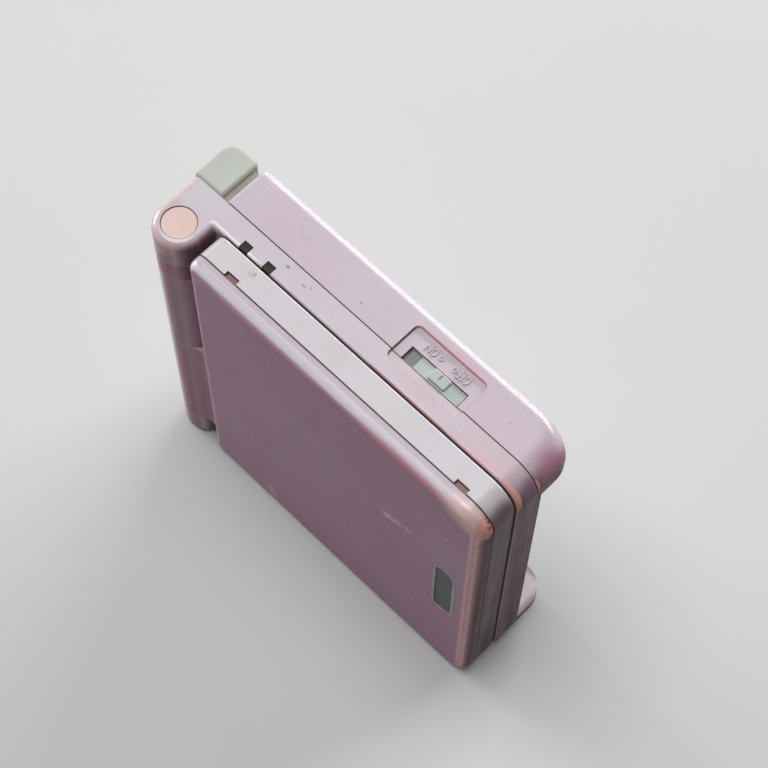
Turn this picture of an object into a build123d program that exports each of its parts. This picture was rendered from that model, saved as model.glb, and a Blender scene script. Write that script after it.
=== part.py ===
from build123d import *
import math
import os

# A clamshell handheld game console, folded shut and standing on its left side.
# Millimetres. Sizes below are in the device's own directions:
#   X runs from the hinge end to the front edge where the cartridge goes in,
#   Y runs from the lid's outer face down through the closed case to the underside,
#   Z runs from the left side (on the table) up to the right side with the power switch.

# ---- overall case -------------------------------------------------------------
case_width = 82.0            # left side to right side
case_length = 84.6           # back of the shoulder buttons to the front edge
lid_height = 8.45            # lid's outer face to its inner face
lid_cover_height = 3.1       # share of the lid that is the outer cover
closing_gap = 0.3            # free space between the closed lid and the base
upper_case_height = 4.85     # base's top face to the split line
lower_case_height = 10.4     # split line to the underside
shell_wall = 1.5             # moulded wall of every casing
seam_gap = 0.14              # shadow gap where two casings meet
lip_height = 0.9             # tongue that keeps two casings in line
lip_setback = 6.0            # tongue of the base starts this far inside its back wall
lip_clearance = 0.08
part_clearance = 0.2         # moving plastic beside fixed plastic
seat_clearance = 0.05        # fixed piece in its own pocket

lid_front_setback = 0.4      # lid stops this much short of the base's front
lid_front_corner = 5.5
lid_back_corner = 2.4
lid_edge_round = 2.0
lid_inner_round = 0.5
base_front_corner = 5.8
base_back_corner = 1.6
base_top_round = 0.5
underside_side_round = 2.7
underside_front_round = 5.6
underside_back_round = 1.6
lower_back_corner = 1.0
bowl_steps = 6               # sections in each stretch of the underside's rounding

# ---- hinge --------------------------------------------------------------------
barrel_radius = 5.05
barrel_proud = 0.3           # barrel's crown above the lid's outer face
barrel_to_lid = 1.4          # free gap between the barrel and the lid's edge
shoulder_overhang = 0.9      # shoulder buttons stand this far behind the barrel
knuckle_length = 7.2         # each ear of the base
barrel_end_gap = 0.15        # between turning and fixed barrel pieces
collar_length = 5.5
cover_barrel_end = 41.2      # the outer cover's barrel ends here, the bezel's begins
barrel_bore_radius = 3.25
running_clearance = 0.05
click_unit_length = 28.0
click_shaft_radius = 2.0
bush_wall = 0.8
bush_reach = 6.5             # bush inside the lid's barrel
cap_radius = 3.4
cap_thickness = 1.1
cap_gap = 0.12
cap_recess = 0.1             # cap's face below the side of the ear
trough_clearance = 0.5       # base's hollow under the turning barrel
trough_wall = 1.4
knuckle_root_round = 1.0

# ---- screen and lid fittings ----------------------------------------------------
screen_width = 61.2          # lit picture, along Z
screen_height = 40.8         # lit picture, along X
lens_side_border = 2.9       # black border beside the picture
lens_end_border = 4.6        # black border above and below the picture
lens_corner = 3.0
lens_thickness = 0.8
lens_recess = 0.4
lens_from_hinge = 6.2        # lid's hinge edge to the lens
bezel_face_wall = 1.8        # inner face of the lid
display_margin = 4.5         # glass of the display module around the picture
display_thickness = 2.6
lid_screw_inset = 4.6        # lid screws from the lid's edges
lid_pad_radius = 2.1
lid_pad_thickness = 0.9
lid_pad_proud = 0.15
lid_pad_edge = 0.12
cable_width = 12.0           # the display's flat cable
cable_thickness = 0.3
clip_notch_length = 2.9
clip_notch_height = 1.0
clip_notch_depth = 0.9
clip_notch_starts = (6.65, 62.1)   # from the lid's hinge edge

# ---- badge on the lid -------------------------------------------------------------
badge_length = 21.6          # along Z
badge_width = 5.8            # along X
badge_corner = 2.3
badge_from_front = 4.3       # badge's edge to the lid's front
badge_centre_height = 38.7
badge_rim = 0.8
badge_depth = 0.6
badge_plate_recess = 0.15

# ---- controls on the base ---------------------------------------------------------
panel_margin = 4.0
panel_depth = 0.8
panel_wall = 1.2
panel_start = 18.0
panel_corner = 4.0
pad_centre = (41.0, 18.8)          # direction pad, X and Z
pad_span = 19.6
pad_arm_width = 6.6
pad_tilt = 2.5                     # degrees each way
pad_flange_radius = 7.6
pad_flange_thickness = 0.45
pad_rock_clearance = 0.08          # left between the panel and the fully rocked flange
pad_hole_clearance = 0.45
pivot_radius = 1.6
pip_height = 0.5                   # pivot pip above the pad's flange
button_a_x = 38.5
button_a_inset = 12.4              # from the right side
button_b_x = 44.5
button_b_inset = 25.4
face_button_radius = 4.7
small_button_radius = 2.4
small_button_x = 73.0
small_button_offset = 6.6          # start and select each side of the middle
light_button_x = 24.5
light_button_length = 6.4
light_button_width = 3.2
button_flange = 0.9
button_flange_thickness = 0.6
button_crown = 0.8                 # button's top above the sunken panel
speaker_x = 57.5
speaker_radius = 9.0
speaker_thickness = 1.7
speaker_slot_count = 6
speaker_slot_length = 8.0
speaker_slot_width = 1.1
speaker_slot_pitch = 2.3

# ---- shoulder buttons ---------------------------------------------------------------
shoulder_depth = 7.2
shoulder_height = 9.65
shoulder_length = 16.4
shoulder_side_inset = 0.5
shoulder_gap = 0.15
shoulder_outer_round = 3.0
shoulder_inner_round = 1.2
shoulder_edge_round = 0.8
shoulder_clearance = 1.56          # button to the lower casing, room to press
shoulder_flange_clearance = 0.3
shoulder_flange_rise = 0.2         # flange below the button's upper end
shoulder_flange_drop = 1.4         # flange above its lower end
shoulder_flange_reach = 2.2
shoulder_flange_start = 4.6        # from the pin along the button
shoulder_pin_radius = 0.9
shoulder_pin_x = 5.2
shoulder_pin_inset = 2.2
shoulder_pin_skin = 0.3            # plastic left under the pin's foot
shoulder_ear_height = 2.0
shoulder_ear_radius = 1.9
tact_switch_gap = 1.5              # flange to switch, more than the press
tact_switch_width = 3.8
tact_switch_height = 5.0
tact_switch_depth = 2.7
tact_plunger_width = 1.6
tact_plunger_reach = 0.3

# ---- power switch and volume switch ---------------------------------------------------
power_panel_from_front = 34.6
power_panel_length = 16.4
power_panel_rise = 1.4             # panel above the split line
power_panel_drop = 6.45            # panel below the split line
power_panel_corner = 0.9
power_panel_depth = 0.5
power_panel_lean = 32.0            # degrees that its walls lean outward
power_window_inset = 1.9           # from the panel's start
power_window_length = 13.3
power_plate_length = 10.4
power_knob_from_plate = 3.05
volume_window_from_front = 40.6
volume_window_length = 14.0
volume_plate_length = 8.0
switch_window_height = 3.1
slide_base_thickness = 0.8         # hidden base behind the wall
slide_base_overlap = 0.5           # base past the window's edges at either limit
slide_plate_depth = 0.78           # plate's face below the side
slide_knob_length = 3.95
slide_knob_height = 2.4
slide_knob_inset = 0.1             # knob's face below the side
slide_knob_corner = 0.4
slide_knob_round = 0.3
slide_groove_width = 0.45
slide_groove_depth = 0.3
slide_groove_margin = (0.75, 0.35)
switch_body_depth = 3.0
switch_body_inset = 1.0            # body shorter than its window at each end

# ---- lamp windows ---------------------------------------------------------------------
lamp_starts = (16.85, 22.6)
lamp_width = 2.1
lamp_height = 1.8
lamp_recess = 0.25

# ---- cartridge bay ----------------------------------------------------------------------
bay_width = 58.0
bay_length = 36.0
bay_wall = 1.1
front_lip_drop = 1.14              # upper casing's front lip below the split line
front_lip_depth = 2.0
corner_lump_width = 8.0
floor_cut_length = 13.0            # underside is open this far from the front
connector_length = 6.0
connector_width = 50.6
connector_wall = 1.5
connector_throat = 2.4             # opening for a cartridge's edge
contact_count = 32
contact_width = 0.7
contact_thickness = 0.5
contact_end_clearance = 0.2
contact_setback = 0.6              # contacts stop this far inside the connector's mouth

# ---- ports on the hinge end ---------------------------------------------------------------
link_port_z = 41.0
link_port_width = 13.0
link_port_height = 5.2
power_port_z = 25.5
power_port_width = 10.0
power_port_height = 4.8
port_depth = 6.5
port_wall = 0.8
port_centre_drop = 4.4             # ports below the split line
port_tongue_thickness = 0.7

# ---- battery --------------------------------------------------------------------------------
battery_start = 14.0
battery_to_connector = 0.6         # battery's well to the cartridge connector
battery_width = 44.0
battery_thickness = 5.4
battery_clearance = 0.4
battery_corner = 1.5
well_wall = 1.0
door_margin = 2.0
door_screw_margin = 6.4
door_thickness = 1.4
door_corner = 2.5
door_tab_width = 6.0
door_tab_reach = 1.6
door_tab_spread = 14.0
door_screw_radius = 1.1
door_screw_length = 4.9

# ---- board and fasteners -----------------------------------------------------------------------
board_thickness = 0.8
board_margin = 1.2
membrane_thickness = 0.35
membrane_margin = 1.0              # rubber sheet beyond a button
dome_height = 0.1
dome_radius = 1.6
dome_spread = 6.8                  # domes from the direction pad's centre
case_screw_back = 8.5              # back screws from the lower casing's back
case_screw_middle = 31.0
case_screw_front = 8.0             # front screws from the front edge
screw_head_radius = 1.7
screw_head_height = 1.2
screw_shank_radius = 0.85
screw_seat_depth = 4.5
boss_radius = 2.3
drive_width = 0.5
drive_depth = 0.5

# ---- places that follow from the sizes above ------------------------------------------------------
hinge_x = shoulder_overhang + barrel_radius
hinge_y = barrel_radius
lid_back = hinge_x + barrel_radius + barrel_to_lid
lid_front = case_length - lid_front_setback
lid_outer_y = barrel_proud
lid_seam_y = lid_outer_y + lid_cover_height
lid_inner_y = lid_outer_y + lid_height
base_top_y = lid_inner_y + closing_gap
split_y = base_top_y + upper_case_height
underside_y = split_y + lower_case_height
base_back = shoulder_overhang
mid_z = case_width / 2
lower_back = shoulder_depth + shoulder_clearance
panel_y = base_top_y + panel_depth
panel_under_y = panel_y + panel_wall
board_top_y = split_y - board_thickness
membrane_top_y = board_top_y - membrane_thickness
pad_rise = pad_flange_radius * math.sin(math.radians(pad_tilt * math.sqrt(2)))
pad_flange_y = panel_under_y + pad_rise + pad_rock_clearance
bay_ceiling_y = split_y + front_lip_drop
bay_floor_y = underside_y - shell_wall
bay_back = case_length - bay_length
cavity_end = case_length - floor_cut_length
battery_length = (bay_back - connector_length - battery_to_connector - well_wall
                  - battery_clearance - battery_start)
power_panel_start = case_length - power_panel_from_front
power_window_start = power_panel_start + power_window_inset
volume_window_start = case_length - volume_window_from_front
button_a_centre = (button_a_x, case_width - button_a_inset)
button_b_centre = (button_b_x, case_width - button_b_inset)
lens_width = screen_width + 2 * lens_side_border
lens_height = screen_height + 2 * lens_end_border
contact_pitch = ((connector_width - 2 * (connector_wall + contact_end_clearance) - contact_width)
                 / (contact_count - 1))
lid_barrel_start = knuckle_length + barrel_end_gap
collar_end = case_width - knuckle_length - barrel_end_gap
collar_start = case_width - knuckle_length - collar_length
well_back = battery_start - battery_clearance
well_front = battery_start + battery_length + battery_clearance
well_low = mid_z - battery_width / 2 - battery_clearance
well_high = mid_z + battery_width / 2 + battery_clearance
battery_low_y = underside_y - door_thickness - battery_clearance
battery_top_y = battery_low_y - battery_thickness
well_top_y = battery_top_y - battery_clearance

DOWN = (0, 1, 0)             # from the lid towards the underside


# ---- drawing helpers -------------------------------------------------------------------------------
def plan(outline, y_low, y_high):
    """Raise an outline drawn in X and Z from one depth to another."""
    placed = Plane.XZ.offset(-y_low) * outline
    return extrude(placed, amount=y_high - y_low, dir=DOWN)


def side(profile, z_low, z_high):
    """Raise a profile drawn in X and Y from one height to another."""
    return extrude(Pos(0, 0, z_low) * profile, amount=z_high - z_low)


def span(x_low, x_high, second_low, second_high):
    """A rectangle between two limits each way."""
    centre = Pos((x_low + x_high) / 2, (second_low + second_high) / 2)
    return centre * Rectangle(x_high - x_low, second_high - second_low)


def rounded_span(x_low, x_high, second_low, second_high, radius):
    centre = Pos((x_low + x_high) / 2, (second_low + second_high) / 2)
    return centre * RectangleRounded(x_high - x_low, second_high - second_low, radius)


def case_outline(back, front, inset, back_corner, front_corner):
    """Plan of a casing: round corners, larger at the front, drawn in by inset."""
    outline = span(back + inset, front - inset, inset, case_width - inset)
    outline = fillet(outline.vertices().group_by(Axis.X)[-1], max(front_corner - inset, 0.3))
    return fillet(outline.vertices().group_by(Axis.X)[0], max(back_corner - inset, 0.3))


def post(x, z, radius, y_low, y_high):
    """A round post standing along Y."""
    return plan(Pos(x, z) * Circle(radius), y_low, y_high)


def rod(x, y, radius, z_low, z_high):
    """A round rod lying along Z."""
    return side(Pos(x, y) * Circle(radius), z_low, z_high)


def other_side(piece):
    """The same piece on the left side of the case."""
    return mirror(piece, about=Plane.XY.offset(mid_z))


def edges_at_depth(piece, y):
    return piece.edges().filter_by_position(Axis.Y, y - 0.001, y + 0.001)


def edges_at_height(piece, z):
    return piece.edges().filter_by_position(Axis.Z, z - 0.001, z + 0.001)


# ---- lid ---------------------------------------------------------------------------------------------
def lid_outline(inset):
    return case_outline(lid_back, lid_front, inset, lid_back_corner, lid_front_corner)


def barrel_piece(z_low, z_high):
    """One length of the hinge barrel with its bore."""
    return rod(hinge_x, hinge_y, barrel_radius, z_low, z_high)


def barrel_bore(z_low, z_high):
    return rod(hinge_x, hinge_y, barrel_bore_radius, z_low, z_high)


def lid_screw_places():
    front = lid_front - lid_screw_inset
    back = lid_back + lid_screw_inset
    low = lid_screw_inset
    high = case_width - lid_screw_inset
    return [(front, low), (front, high), (back, low), (back, high)]


def badge_outline(inset):
    front = lid_front - badge_from_front
    low = badge_centre_height - badge_length / 2
    return rounded_span(front - badge_width + inset, front - inset, low + inset,
                        low + badge_length - inset, badge_corner - inset)


def cover_web():
    """The outer cover's flowing join from its barrel to the lid, a shallow valley."""
    crown = (hinge_x + 0.62 * barrel_radius, hinge_y - 0.78 * barrel_radius)
    valley = (lid_back - 0.6, lid_outer_y + 1.35)
    landing = (lid_back + lid_edge_round, lid_outer_y + 0.02)
    inside = (lid_back + lid_edge_round, lid_seam_y)
    edge = (lid_back, lid_seam_y)
    foot = (lid_back, lid_inner_y - 1.8)
    root = (hinge_x + 0.8 * barrel_radius, lid_inner_y - 1.8)
    outline = ThreePointArc(crown, valley, landing) + Polyline(
        landing, inside, edge, foot, root, (hinge_x, hinge_y), crown)
    return side(make_face(outline), lid_barrel_start, cover_barrel_end - barrel_end_gap)


def lid_outer_cover():
    shell = plan(lid_outline(0), lid_outer_y, lid_seam_y)
    shell = fillet(edges_at_depth(shell, lid_outer_y), lid_edge_round)
    shell += barrel_piece(lid_barrel_start, cover_barrel_end - barrel_end_gap)
    shell += cover_web()
    shell -= plan(lid_outline(shell_wall), lid_outer_y + shell_wall, lid_seam_y)
    rebate = shell_wall / 2 - lip_clearance
    shell -= plan(lid_outline(rebate), lid_seam_y - lip_height, lid_seam_y)
    boss_end = lid_inner_y - bezel_face_wall
    for x, z in lid_screw_places():
        shell += post(x, z, boss_radius, lid_outer_y + shell_wall / 2, boss_end)
        shell -= post(x, z, screw_shank_radius, lid_seam_y, boss_end)
    shell -= barrel_bore(lid_barrel_start, cover_barrel_end)
    shell -= plan(badge_outline(0), lid_outer_y, lid_outer_y + badge_depth)
    shell -= cable_slot(part_clearance)
    return shell


def bezel_web():
    """Inner half of the lid reaching to its own length of barrel."""
    profile = span(hinge_x, lid_back + shell_wall, lid_seam_y + seam_gap, lid_inner_y - 1.8)
    return side(profile, cover_barrel_end, collar_start - barrel_end_gap)


def lens_outline(inset):
    start = lid_back + lens_from_hinge
    return rounded_span(start + inset, start + lens_height - inset,
                        mid_z - lens_width / 2 + inset, mid_z + lens_width / 2 - inset,
                        lens_corner - inset)


def screen_centre_x():
    return lid_back + lens_from_hinge + lens_height / 2


def lid_bezel():
    rim_y = lid_seam_y + seam_gap
    shell = plan(lid_outline(0), rim_y, lid_inner_y)
    shell = fillet(edges_at_depth(shell, lid_inner_y), lid_inner_round)
    shell += plan(lid_outline(shell_wall / 2), lid_seam_y - lip_height + seam_gap, rim_y)
    shell += barrel_piece(cover_barrel_end, collar_start - barrel_end_gap) + bezel_web()
    shell -= plan(lid_outline(shell_wall), lid_seam_y - lip_height, lid_inner_y - bezel_face_wall)
    shell -= barrel_bore(cover_barrel_end, collar_start)
    pocket_y = lid_inner_y - lens_recess - lens_thickness
    shell -= plan(lens_outline(0), pocket_y, lid_inner_y)
    x = screen_centre_x()
    window = span(x - screen_height / 2, x + screen_height / 2,
                  mid_z - screen_width / 2, mid_z + screen_width / 2)
    shell -= plan(window, lid_inner_y - bezel_face_wall, pocket_y)
    pad_seat_y = lid_inner_y - lid_pad_thickness
    for x, z in lid_screw_places():
        shell -= post(x, z, lid_pad_radius + seat_clearance, pad_seat_y, lid_inner_y)
        shell -= post(x, z, screw_shank_radius, lid_inner_y - bezel_face_wall, pad_seat_y)
    for start in clip_notch_starts:
        notch = span(lid_back + start, lid_back + start + clip_notch_length,
                     lid_seam_y, lid_seam_y + seam_gap + clip_notch_height)
        shell -= side(notch, case_width - clip_notch_depth, case_width)
        shell -= side(notch, 0, clip_notch_depth)
    shell -= cable_slot(part_clearance)
    return shell


def screen_lens():
    top = lid_inner_y - lens_recess
    return plan(lens_outline(seat_clearance), top - lens_thickness, top)


def display_panel():
    x = screen_centre_x()
    half_x = screen_height / 2 + display_margin
    half_z = screen_width / 2 + display_margin
    top = lid_inner_y - bezel_face_wall
    glass = rounded_span(x - half_x, x + half_x, mid_z - half_z, mid_z + half_z, 0.6)
    return plan(glass, top - display_thickness, top)


def lid_screws():
    screws = []
    head_y = lid_inner_y - lid_pad_thickness
    for x, z in lid_screw_places():
        screws.append(post(x, z, screw_shank_radius - seat_clearance, lid_seam_y + 0.6, head_y))
    return screws


def lid_screw_pads():
    """Rubber bumpers that hide the lid's screws and keep the lid off the base."""
    pads = []
    for x, z in lid_screw_places():
        seat_y = lid_inner_y - lid_pad_thickness
        pad = post(x, z, lid_pad_radius, seat_y, lid_inner_y + lid_pad_proud)
        pads.append(chamfer(edges_at_depth(pad, lid_inner_y + lid_pad_proud), lid_pad_edge))
    return pads


def badge_frame():
    frame = plan(badge_outline(seat_clearance), lid_outer_y, lid_outer_y + badge_depth)
    frame -= plan(badge_outline(badge_rim), lid_outer_y, lid_outer_y + badge_depth / 2)
    return frame


def badge_plate():
    face_y = lid_outer_y + badge_plate_recess
    return plan(badge_outline(badge_rim + seat_clearance), face_y, lid_outer_y + badge_depth / 2)


def cable_slot(clearance):
    """Where the display's flat cable leaves the barrel for the lid."""
    middle = (lid_barrel_start + cover_barrel_end) / 2
    half_width = cable_width / 2 + clearance
    half_height = cable_thickness / 2 + clearance
    profile = span(hinge_x + barrel_bore_radius - 2 * cable_thickness,
                   lid_back + shell_wall + 1.0, hinge_y - half_height, hinge_y + half_height)
    return side(profile, middle - half_width, middle + half_width)


def display_cable():
    """Flat flexible cable: an open roll in the barrel and a tongue into the lid."""
    middle = (lid_barrel_start + cover_barrel_end) / 2
    outer = barrel_bore_radius - cable_thickness / 2
    roll = Pos(hinge_x, hinge_y) * (Circle(outer) - Circle(outer - cable_thickness))
    roll -= Pos(hinge_x, hinge_y) * span(0, outer + 1, cable_thickness / 2, outer + 1)
    return side(roll, middle - cable_width / 2, middle + cable_width / 2) + cable_slot(0)


# ---- hinge fittings -------------------------------------------------------------------------------------
def hinge_collar():
    ring = barrel_piece(collar_start, collar_end)
    return ring - barrel_bore(collar_start, collar_end)


def hinge_click_unit():
    """Sprung detent unit: a drum fixed in the lid's barrel, its shaft in the right ear."""
    drum_radius = barrel_bore_radius - seat_clearance
    drum = rod(hinge_x, hinge_y, drum_radius, collar_end - click_unit_length, collar_end)
    drum = chamfer(edges_at_height(drum, collar_end - click_unit_length), 0.5)
    ear_end = case_width - cap_thickness - cap_gap
    shaft = rod(hinge_x, hinge_y, click_shaft_radius, collar_end, ear_end)
    return drum + shaft


def hinge_bush():
    """Hollow pivot fixed in the left ear; the display cable passes through it."""
    outer = barrel_bore_radius - running_clearance
    low = cap_thickness + cap_gap
    high = lid_barrel_start + bush_reach
    tube = rod(hinge_x, hinge_y, outer, low, high)
    return tube - rod(hinge_x, hinge_y, outer - bush_wall, low, high)


def hinge_end_caps():
    face_z = case_width - cap_recess
    cap = rod(hinge_x, hinge_y, cap_radius - cap_gap, case_width - cap_thickness, face_z)
    cap = chamfer(edges_at_height(cap, face_z), 0.12)
    return [cap, other_side(cap)]


# ---- base, upper casing ----------------------------------------------------------------------------------
def base_outline(inset):
    return case_outline(base_back, case_length, inset, base_back_corner, base_front_corner)


def knuckle_profile():
    """Round ear flowing straight down into the base, with a small hollow at its root."""
    ear = Pos(hinge_x, hinge_y) * Circle(barrel_radius)
    ear += span(base_back, hinge_x + barrel_radius, hinge_y, split_y)
    root_x = hinge_x + barrel_radius + knuckle_root_round
    root_y = base_top_y - knuckle_root_round
    root = span(hinge_x, root_x, root_y, base_top_y + base_top_round)
    root -= Pos(root_x, root_y) * Circle(knuckle_root_round)
    return ear + root


def knuckle():
    ear = side(knuckle_profile(), case_width - knuckle_length, case_width)
    rim = edges_at_height(ear, case_width)
    rim = rim.filter_by(lambda edge: edge.center().Y < base_top_y - 0.01)
    return fillet(rim, base_back_corner)


def trough():
    """Space the turning barrel needs between the ears."""
    radius = barrel_radius + trough_clearance
    profile = Pos(hinge_x, hinge_y) * Circle(radius)
    profile += span(base_back - 1, hinge_x, hinge_y - radius, hinge_y + radius)
    return side(profile, knuckle_length, case_width - knuckle_length)


def cross_outline(span_length, arm_width, corner):
    arm = RectangleRounded(span_length, arm_width, corner)
    return arm + Rot(0, 0, 90) * arm


def pad_place():
    return Pos(pad_centre[0], pad_centre[1])


def control_holes():
    """Openings in the sunken panel for every button, and the speaker's slots."""
    grow = part_clearance
    pad_grow = 2 * pad_hole_clearance
    cuts = pad_place() * cross_outline(pad_span + pad_grow, pad_arm_width + pad_grow, 1.2)
    for x, z in (button_a_centre, button_b_centre):
        cuts += Pos(x, z) * Circle(face_button_radius + grow)
    for shift in (-small_button_offset, small_button_offset):
        cuts += Pos(small_button_x, mid_z + shift) * Circle(small_button_radius + grow)
    cuts += Pos(light_button_x, mid_z) * light_outline(grow)
    for index in range(speaker_slot_count):
        offset = (index - (speaker_slot_count - 1) / 2) * speaker_slot_pitch
        reach = speaker_slot_length - 0.9 * abs(offset)
        slot = RectangleRounded(speaker_slot_width, reach, speaker_slot_width * 0.45)
        cuts += Pos(speaker_x + offset, mid_z) * slot
    return cuts


def light_outline(grow):
    return RectangleRounded(light_button_width + 2 * grow, light_button_length + 2 * grow,
                            light_button_width / 2 - 0.1)


def case_screw_places():
    """Six screws: two behind the shoulder buttons, two mid-length, two in the front corners."""
    side_inset = shell_wall + boss_radius + 0.4
    spots = []
    for x in (lower_back + case_screw_back, case_screw_middle, case_length - case_screw_front):
        spots += [(x, side_inset), (x, case_width - side_inset)]
    return spots


def power_panel():
    """Sunken panel round the power switch, its walls leaning outward."""
    floor = rounded_span(power_panel_start, power_panel_start + power_panel_length,
                         split_y - power_panel_rise, split_y + power_panel_drop,
                         power_panel_corner)
    return extrude(Pos(0, 0, case_width - power_panel_depth) * floor, amount=power_panel_depth,
                   taper=-power_panel_lean)


def lamp_window(start):
    profile = span(start, start + lamp_width, base_top_y - 0.5, base_top_y + lamp_height)
    return side(profile, case_width - shell_wall, case_width)


def trough_end():
    """Where the hollow under the barrel meets the base's top face."""
    return hinge_x + barrel_radius + trough_clearance


def base_top_shell():
    shell = plan(base_outline(0), base_top_y, split_y)
    shell = fillet(edges_at_depth(shell, base_top_y), base_top_round)
    ear = knuckle()
    shell += ear + other_side(ear)
    shell -= trough()
    # hollow inside, shallower under the trough
    deep = case_outline(trough_end(), case_length, shell_wall, 2.0, base_front_corner)
    shell -= plan(deep, panel_under_y, split_y)
    shallow = span(base_back + shell_wall, trough_end() + shell_wall + 2, knuckle_length + 2,
                   case_width - knuckle_length - 2)
    shallow_y = hinge_y + barrel_radius + trough_clearance + trough_wall
    shell -= plan(shallow, shallow_y, split_y)
    # tongue that drops inside the lower casing
    tongue_back = lower_back + shell_wall + lip_setback
    tongue = case_outline(tongue_back, case_length, shell_wall / 2 + lip_clearance, 2.0,
                          base_front_corner)
    tongue -= case_outline(tongue_back, case_length, shell_wall, 2.0, base_front_corner)
    tongue -= span(tongue_back, tongue_back + 3, 0, case_width)
    tongue -= span(cavity_end - 1, case_length, 0, case_width)
    tongue -= span(power_panel_start - 1, power_panel_start + power_panel_length + 1,
                   mid_z, case_width)
    tongue -= span(volume_window_start - 1, volume_window_start + volume_window_length + 1,
                   0, mid_z)
    shell += plan(tongue, panel_under_y, split_y + lip_height - seam_gap)
    # lip over the mouth of the cartridge bay
    lip = span(case_length - front_lip_depth, case_length,
               corner_lump_width + seam_gap, case_width - corner_lump_width - seam_gap)
    shell += plan(lip, split_y - 0.5, bay_ceiling_y)
    # sunken panel with its holes
    sunk = rounded_span(panel_start, case_length - panel_margin, panel_margin,
                        case_width - panel_margin, panel_corner)
    shell -= plan(sunk, base_top_y, panel_y)
    shell -= plan(control_holes(), panel_y, panel_under_y)
    # screw posts
    for x, z in case_screw_places():
        shell += post(x, z, boss_radius, panel_under_y - 0.3, split_y)
        shell -= post(x, z, screw_shank_radius, panel_under_y + 0.4, split_y)
    # bores of the ears
    ear_start = case_width - knuckle_length
    shaft_bore = click_shaft_radius + running_clearance
    shell -= rod(hinge_x, hinge_y, shaft_bore, ear_start, case_width)
    shell -= rod(hinge_x, hinge_y, cap_radius, case_width - cap_thickness, case_width)
    shell -= rod(hinge_x, hinge_y, barrel_bore_radius - running_clearance, 0, knuckle_length)
    shell -= rod(hinge_x, hinge_y, cap_radius, 0, cap_thickness)
    # power switch panel, lamp windows
    shell -= power_panel()
    for start in lamp_starts:
        shell -= lamp_window(start)
    return shell


# ---- base, lower casing -----------------------------------------------------------------------------------
def drawn_in(radius, above_bottom):
    """How far a quarter-round wall has curved in at this distance from the underside."""
    if above_bottom >= radius:
        return 0.0
    return radius - math.sqrt(radius ** 2 - (radius - above_bottom) ** 2)


def lower_section(above_bottom):
    """Plan of the lower casing at one depth, drawn in where the underside curves up."""
    sides = drawn_in(underside_side_round, above_bottom)
    front = drawn_in(underside_front_round, above_bottom)
    back = drawn_in(underside_back_round, above_bottom)
    outline = span(lower_back + back, case_length - front, sides, case_width - sides)
    outline = fillet(outline.vertices().group_by(Axis.X)[-1], base_front_corner)
    outline = fillet(outline.vertices().group_by(Axis.X)[0], lower_back_corner)
    return Plane.XZ.offset(-(underside_y - above_bottom)) * outline


def lower_body():
    """Outer form: straight sides, then a bowl lofted in one stretch for each round."""
    rounds = sorted([underside_front_round, underside_side_round, underside_back_round])
    body = extrude(lower_section(lower_case_height), amount=lower_case_height - rounds[-1],
                   dir=DOWN)
    limits = rounds[::-1] + [0.0]
    for high, low in zip(limits[:-1], limits[1:]):
        if high - low < 0.01:
            continue
        steps = [math.cos(math.radians(90 * index / bowl_steps)) for index in range(bowl_steps + 1)]
        body += loft([lower_section(low + (high - low) * (1 - math.sqrt(1 - step ** 2)))
                      for step in steps])
    return body


def lower_shell_back():
    """The block between the shoulder buttons that carries the ports."""
    half = mid_z - shoulder_length - shoulder_side_inset - shoulder_gap
    profile = span(base_back, lower_back + 1, split_y, underside_y)
    block = side(profile, mid_z - half, mid_z + half)
    low_back = block.edges().filter_by(Axis.Z).group_by(Axis.Y)[-1].group_by(Axis.X)[0]
    block = fillet(low_back, underside_side_round)
    ends = block.edges().filter_by(Axis.Y).group_by(Axis.X)[0]
    return fillet(ends, 0.8)


def shoulder_pin_place():
    return (shoulder_pin_x, case_width - shoulder_side_inset - shoulder_length + shoulder_pin_inset)


def shoulder_ear():
    """Tab of the lower casing that holds the foot of the shoulder button's pin."""
    x, z = shoulder_pin_place()
    top = split_y + shoulder_gap + shoulder_height - shoulder_ear_height
    inner = z - shoulder_pin_inset - shell_wall
    tab = span(x - shoulder_ear_radius, lower_back + 1, inner, z)
    tab += Pos(x, z) * Circle(shoulder_ear_radius)
    return plan(tab, top, top + shoulder_ear_height)


def shoulder_pin_end():
    return split_y + shoulder_gap + shoulder_height - shoulder_pin_skin


def flange_window():
    """Opening behind a shoulder button where its flange goes in."""
    low = split_y + shoulder_gap + shoulder_height - shoulder_flange_drop
    _, pin_z = shoulder_pin_place()
    profile = span(lower_back - 1, lower_back + shell_wall + 0.5, split_y,
                   low + shoulder_flange_clearance)
    return side(profile, pin_z + shoulder_flange_start - 0.8, case_width - shell_wall)


def port_hole(z, width, height):
    y = split_y + port_centre_drop
    block = span(base_back - 1, base_back + port_depth, y - height / 2, y + height / 2)
    return side(block, z - width / 2, z + width / 2)


def battery_well_outline(grow):
    return rounded_span(well_back - grow, well_front + grow, well_low - grow, well_high + grow,
                        battery_corner + grow)


def door_outline(grow):
    return rounded_span(well_back - door_margin - grow, well_front + door_margin + grow,
                        well_low - door_margin - grow, well_high + door_screw_margin + grow,
                        door_corner + grow)


def door_screw_place():
    return ((well_back + well_front) / 2, well_high + door_screw_margin / 2 + 0.3)


def bay_box(grow):
    """Cartridge bay: the tunnel a cartridge slides into."""
    low = mid_z - bay_width / 2 - grow
    high = mid_z + bay_width / 2 + grow
    profile = span(bay_back, case_length + 1, bay_ceiling_y - grow, bay_floor_y + grow)
    return side(profile, low, high)


def switch_window(start, length):
    profile = span(start, start + length, split_y, split_y + switch_window_height)
    return side(profile, case_width - shell_wall, case_width)


def door_tab_places():
    middle = (well_back + well_front) / 2
    return [middle - door_tab_spread / 2, middle + door_tab_spread / 2]


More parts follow.
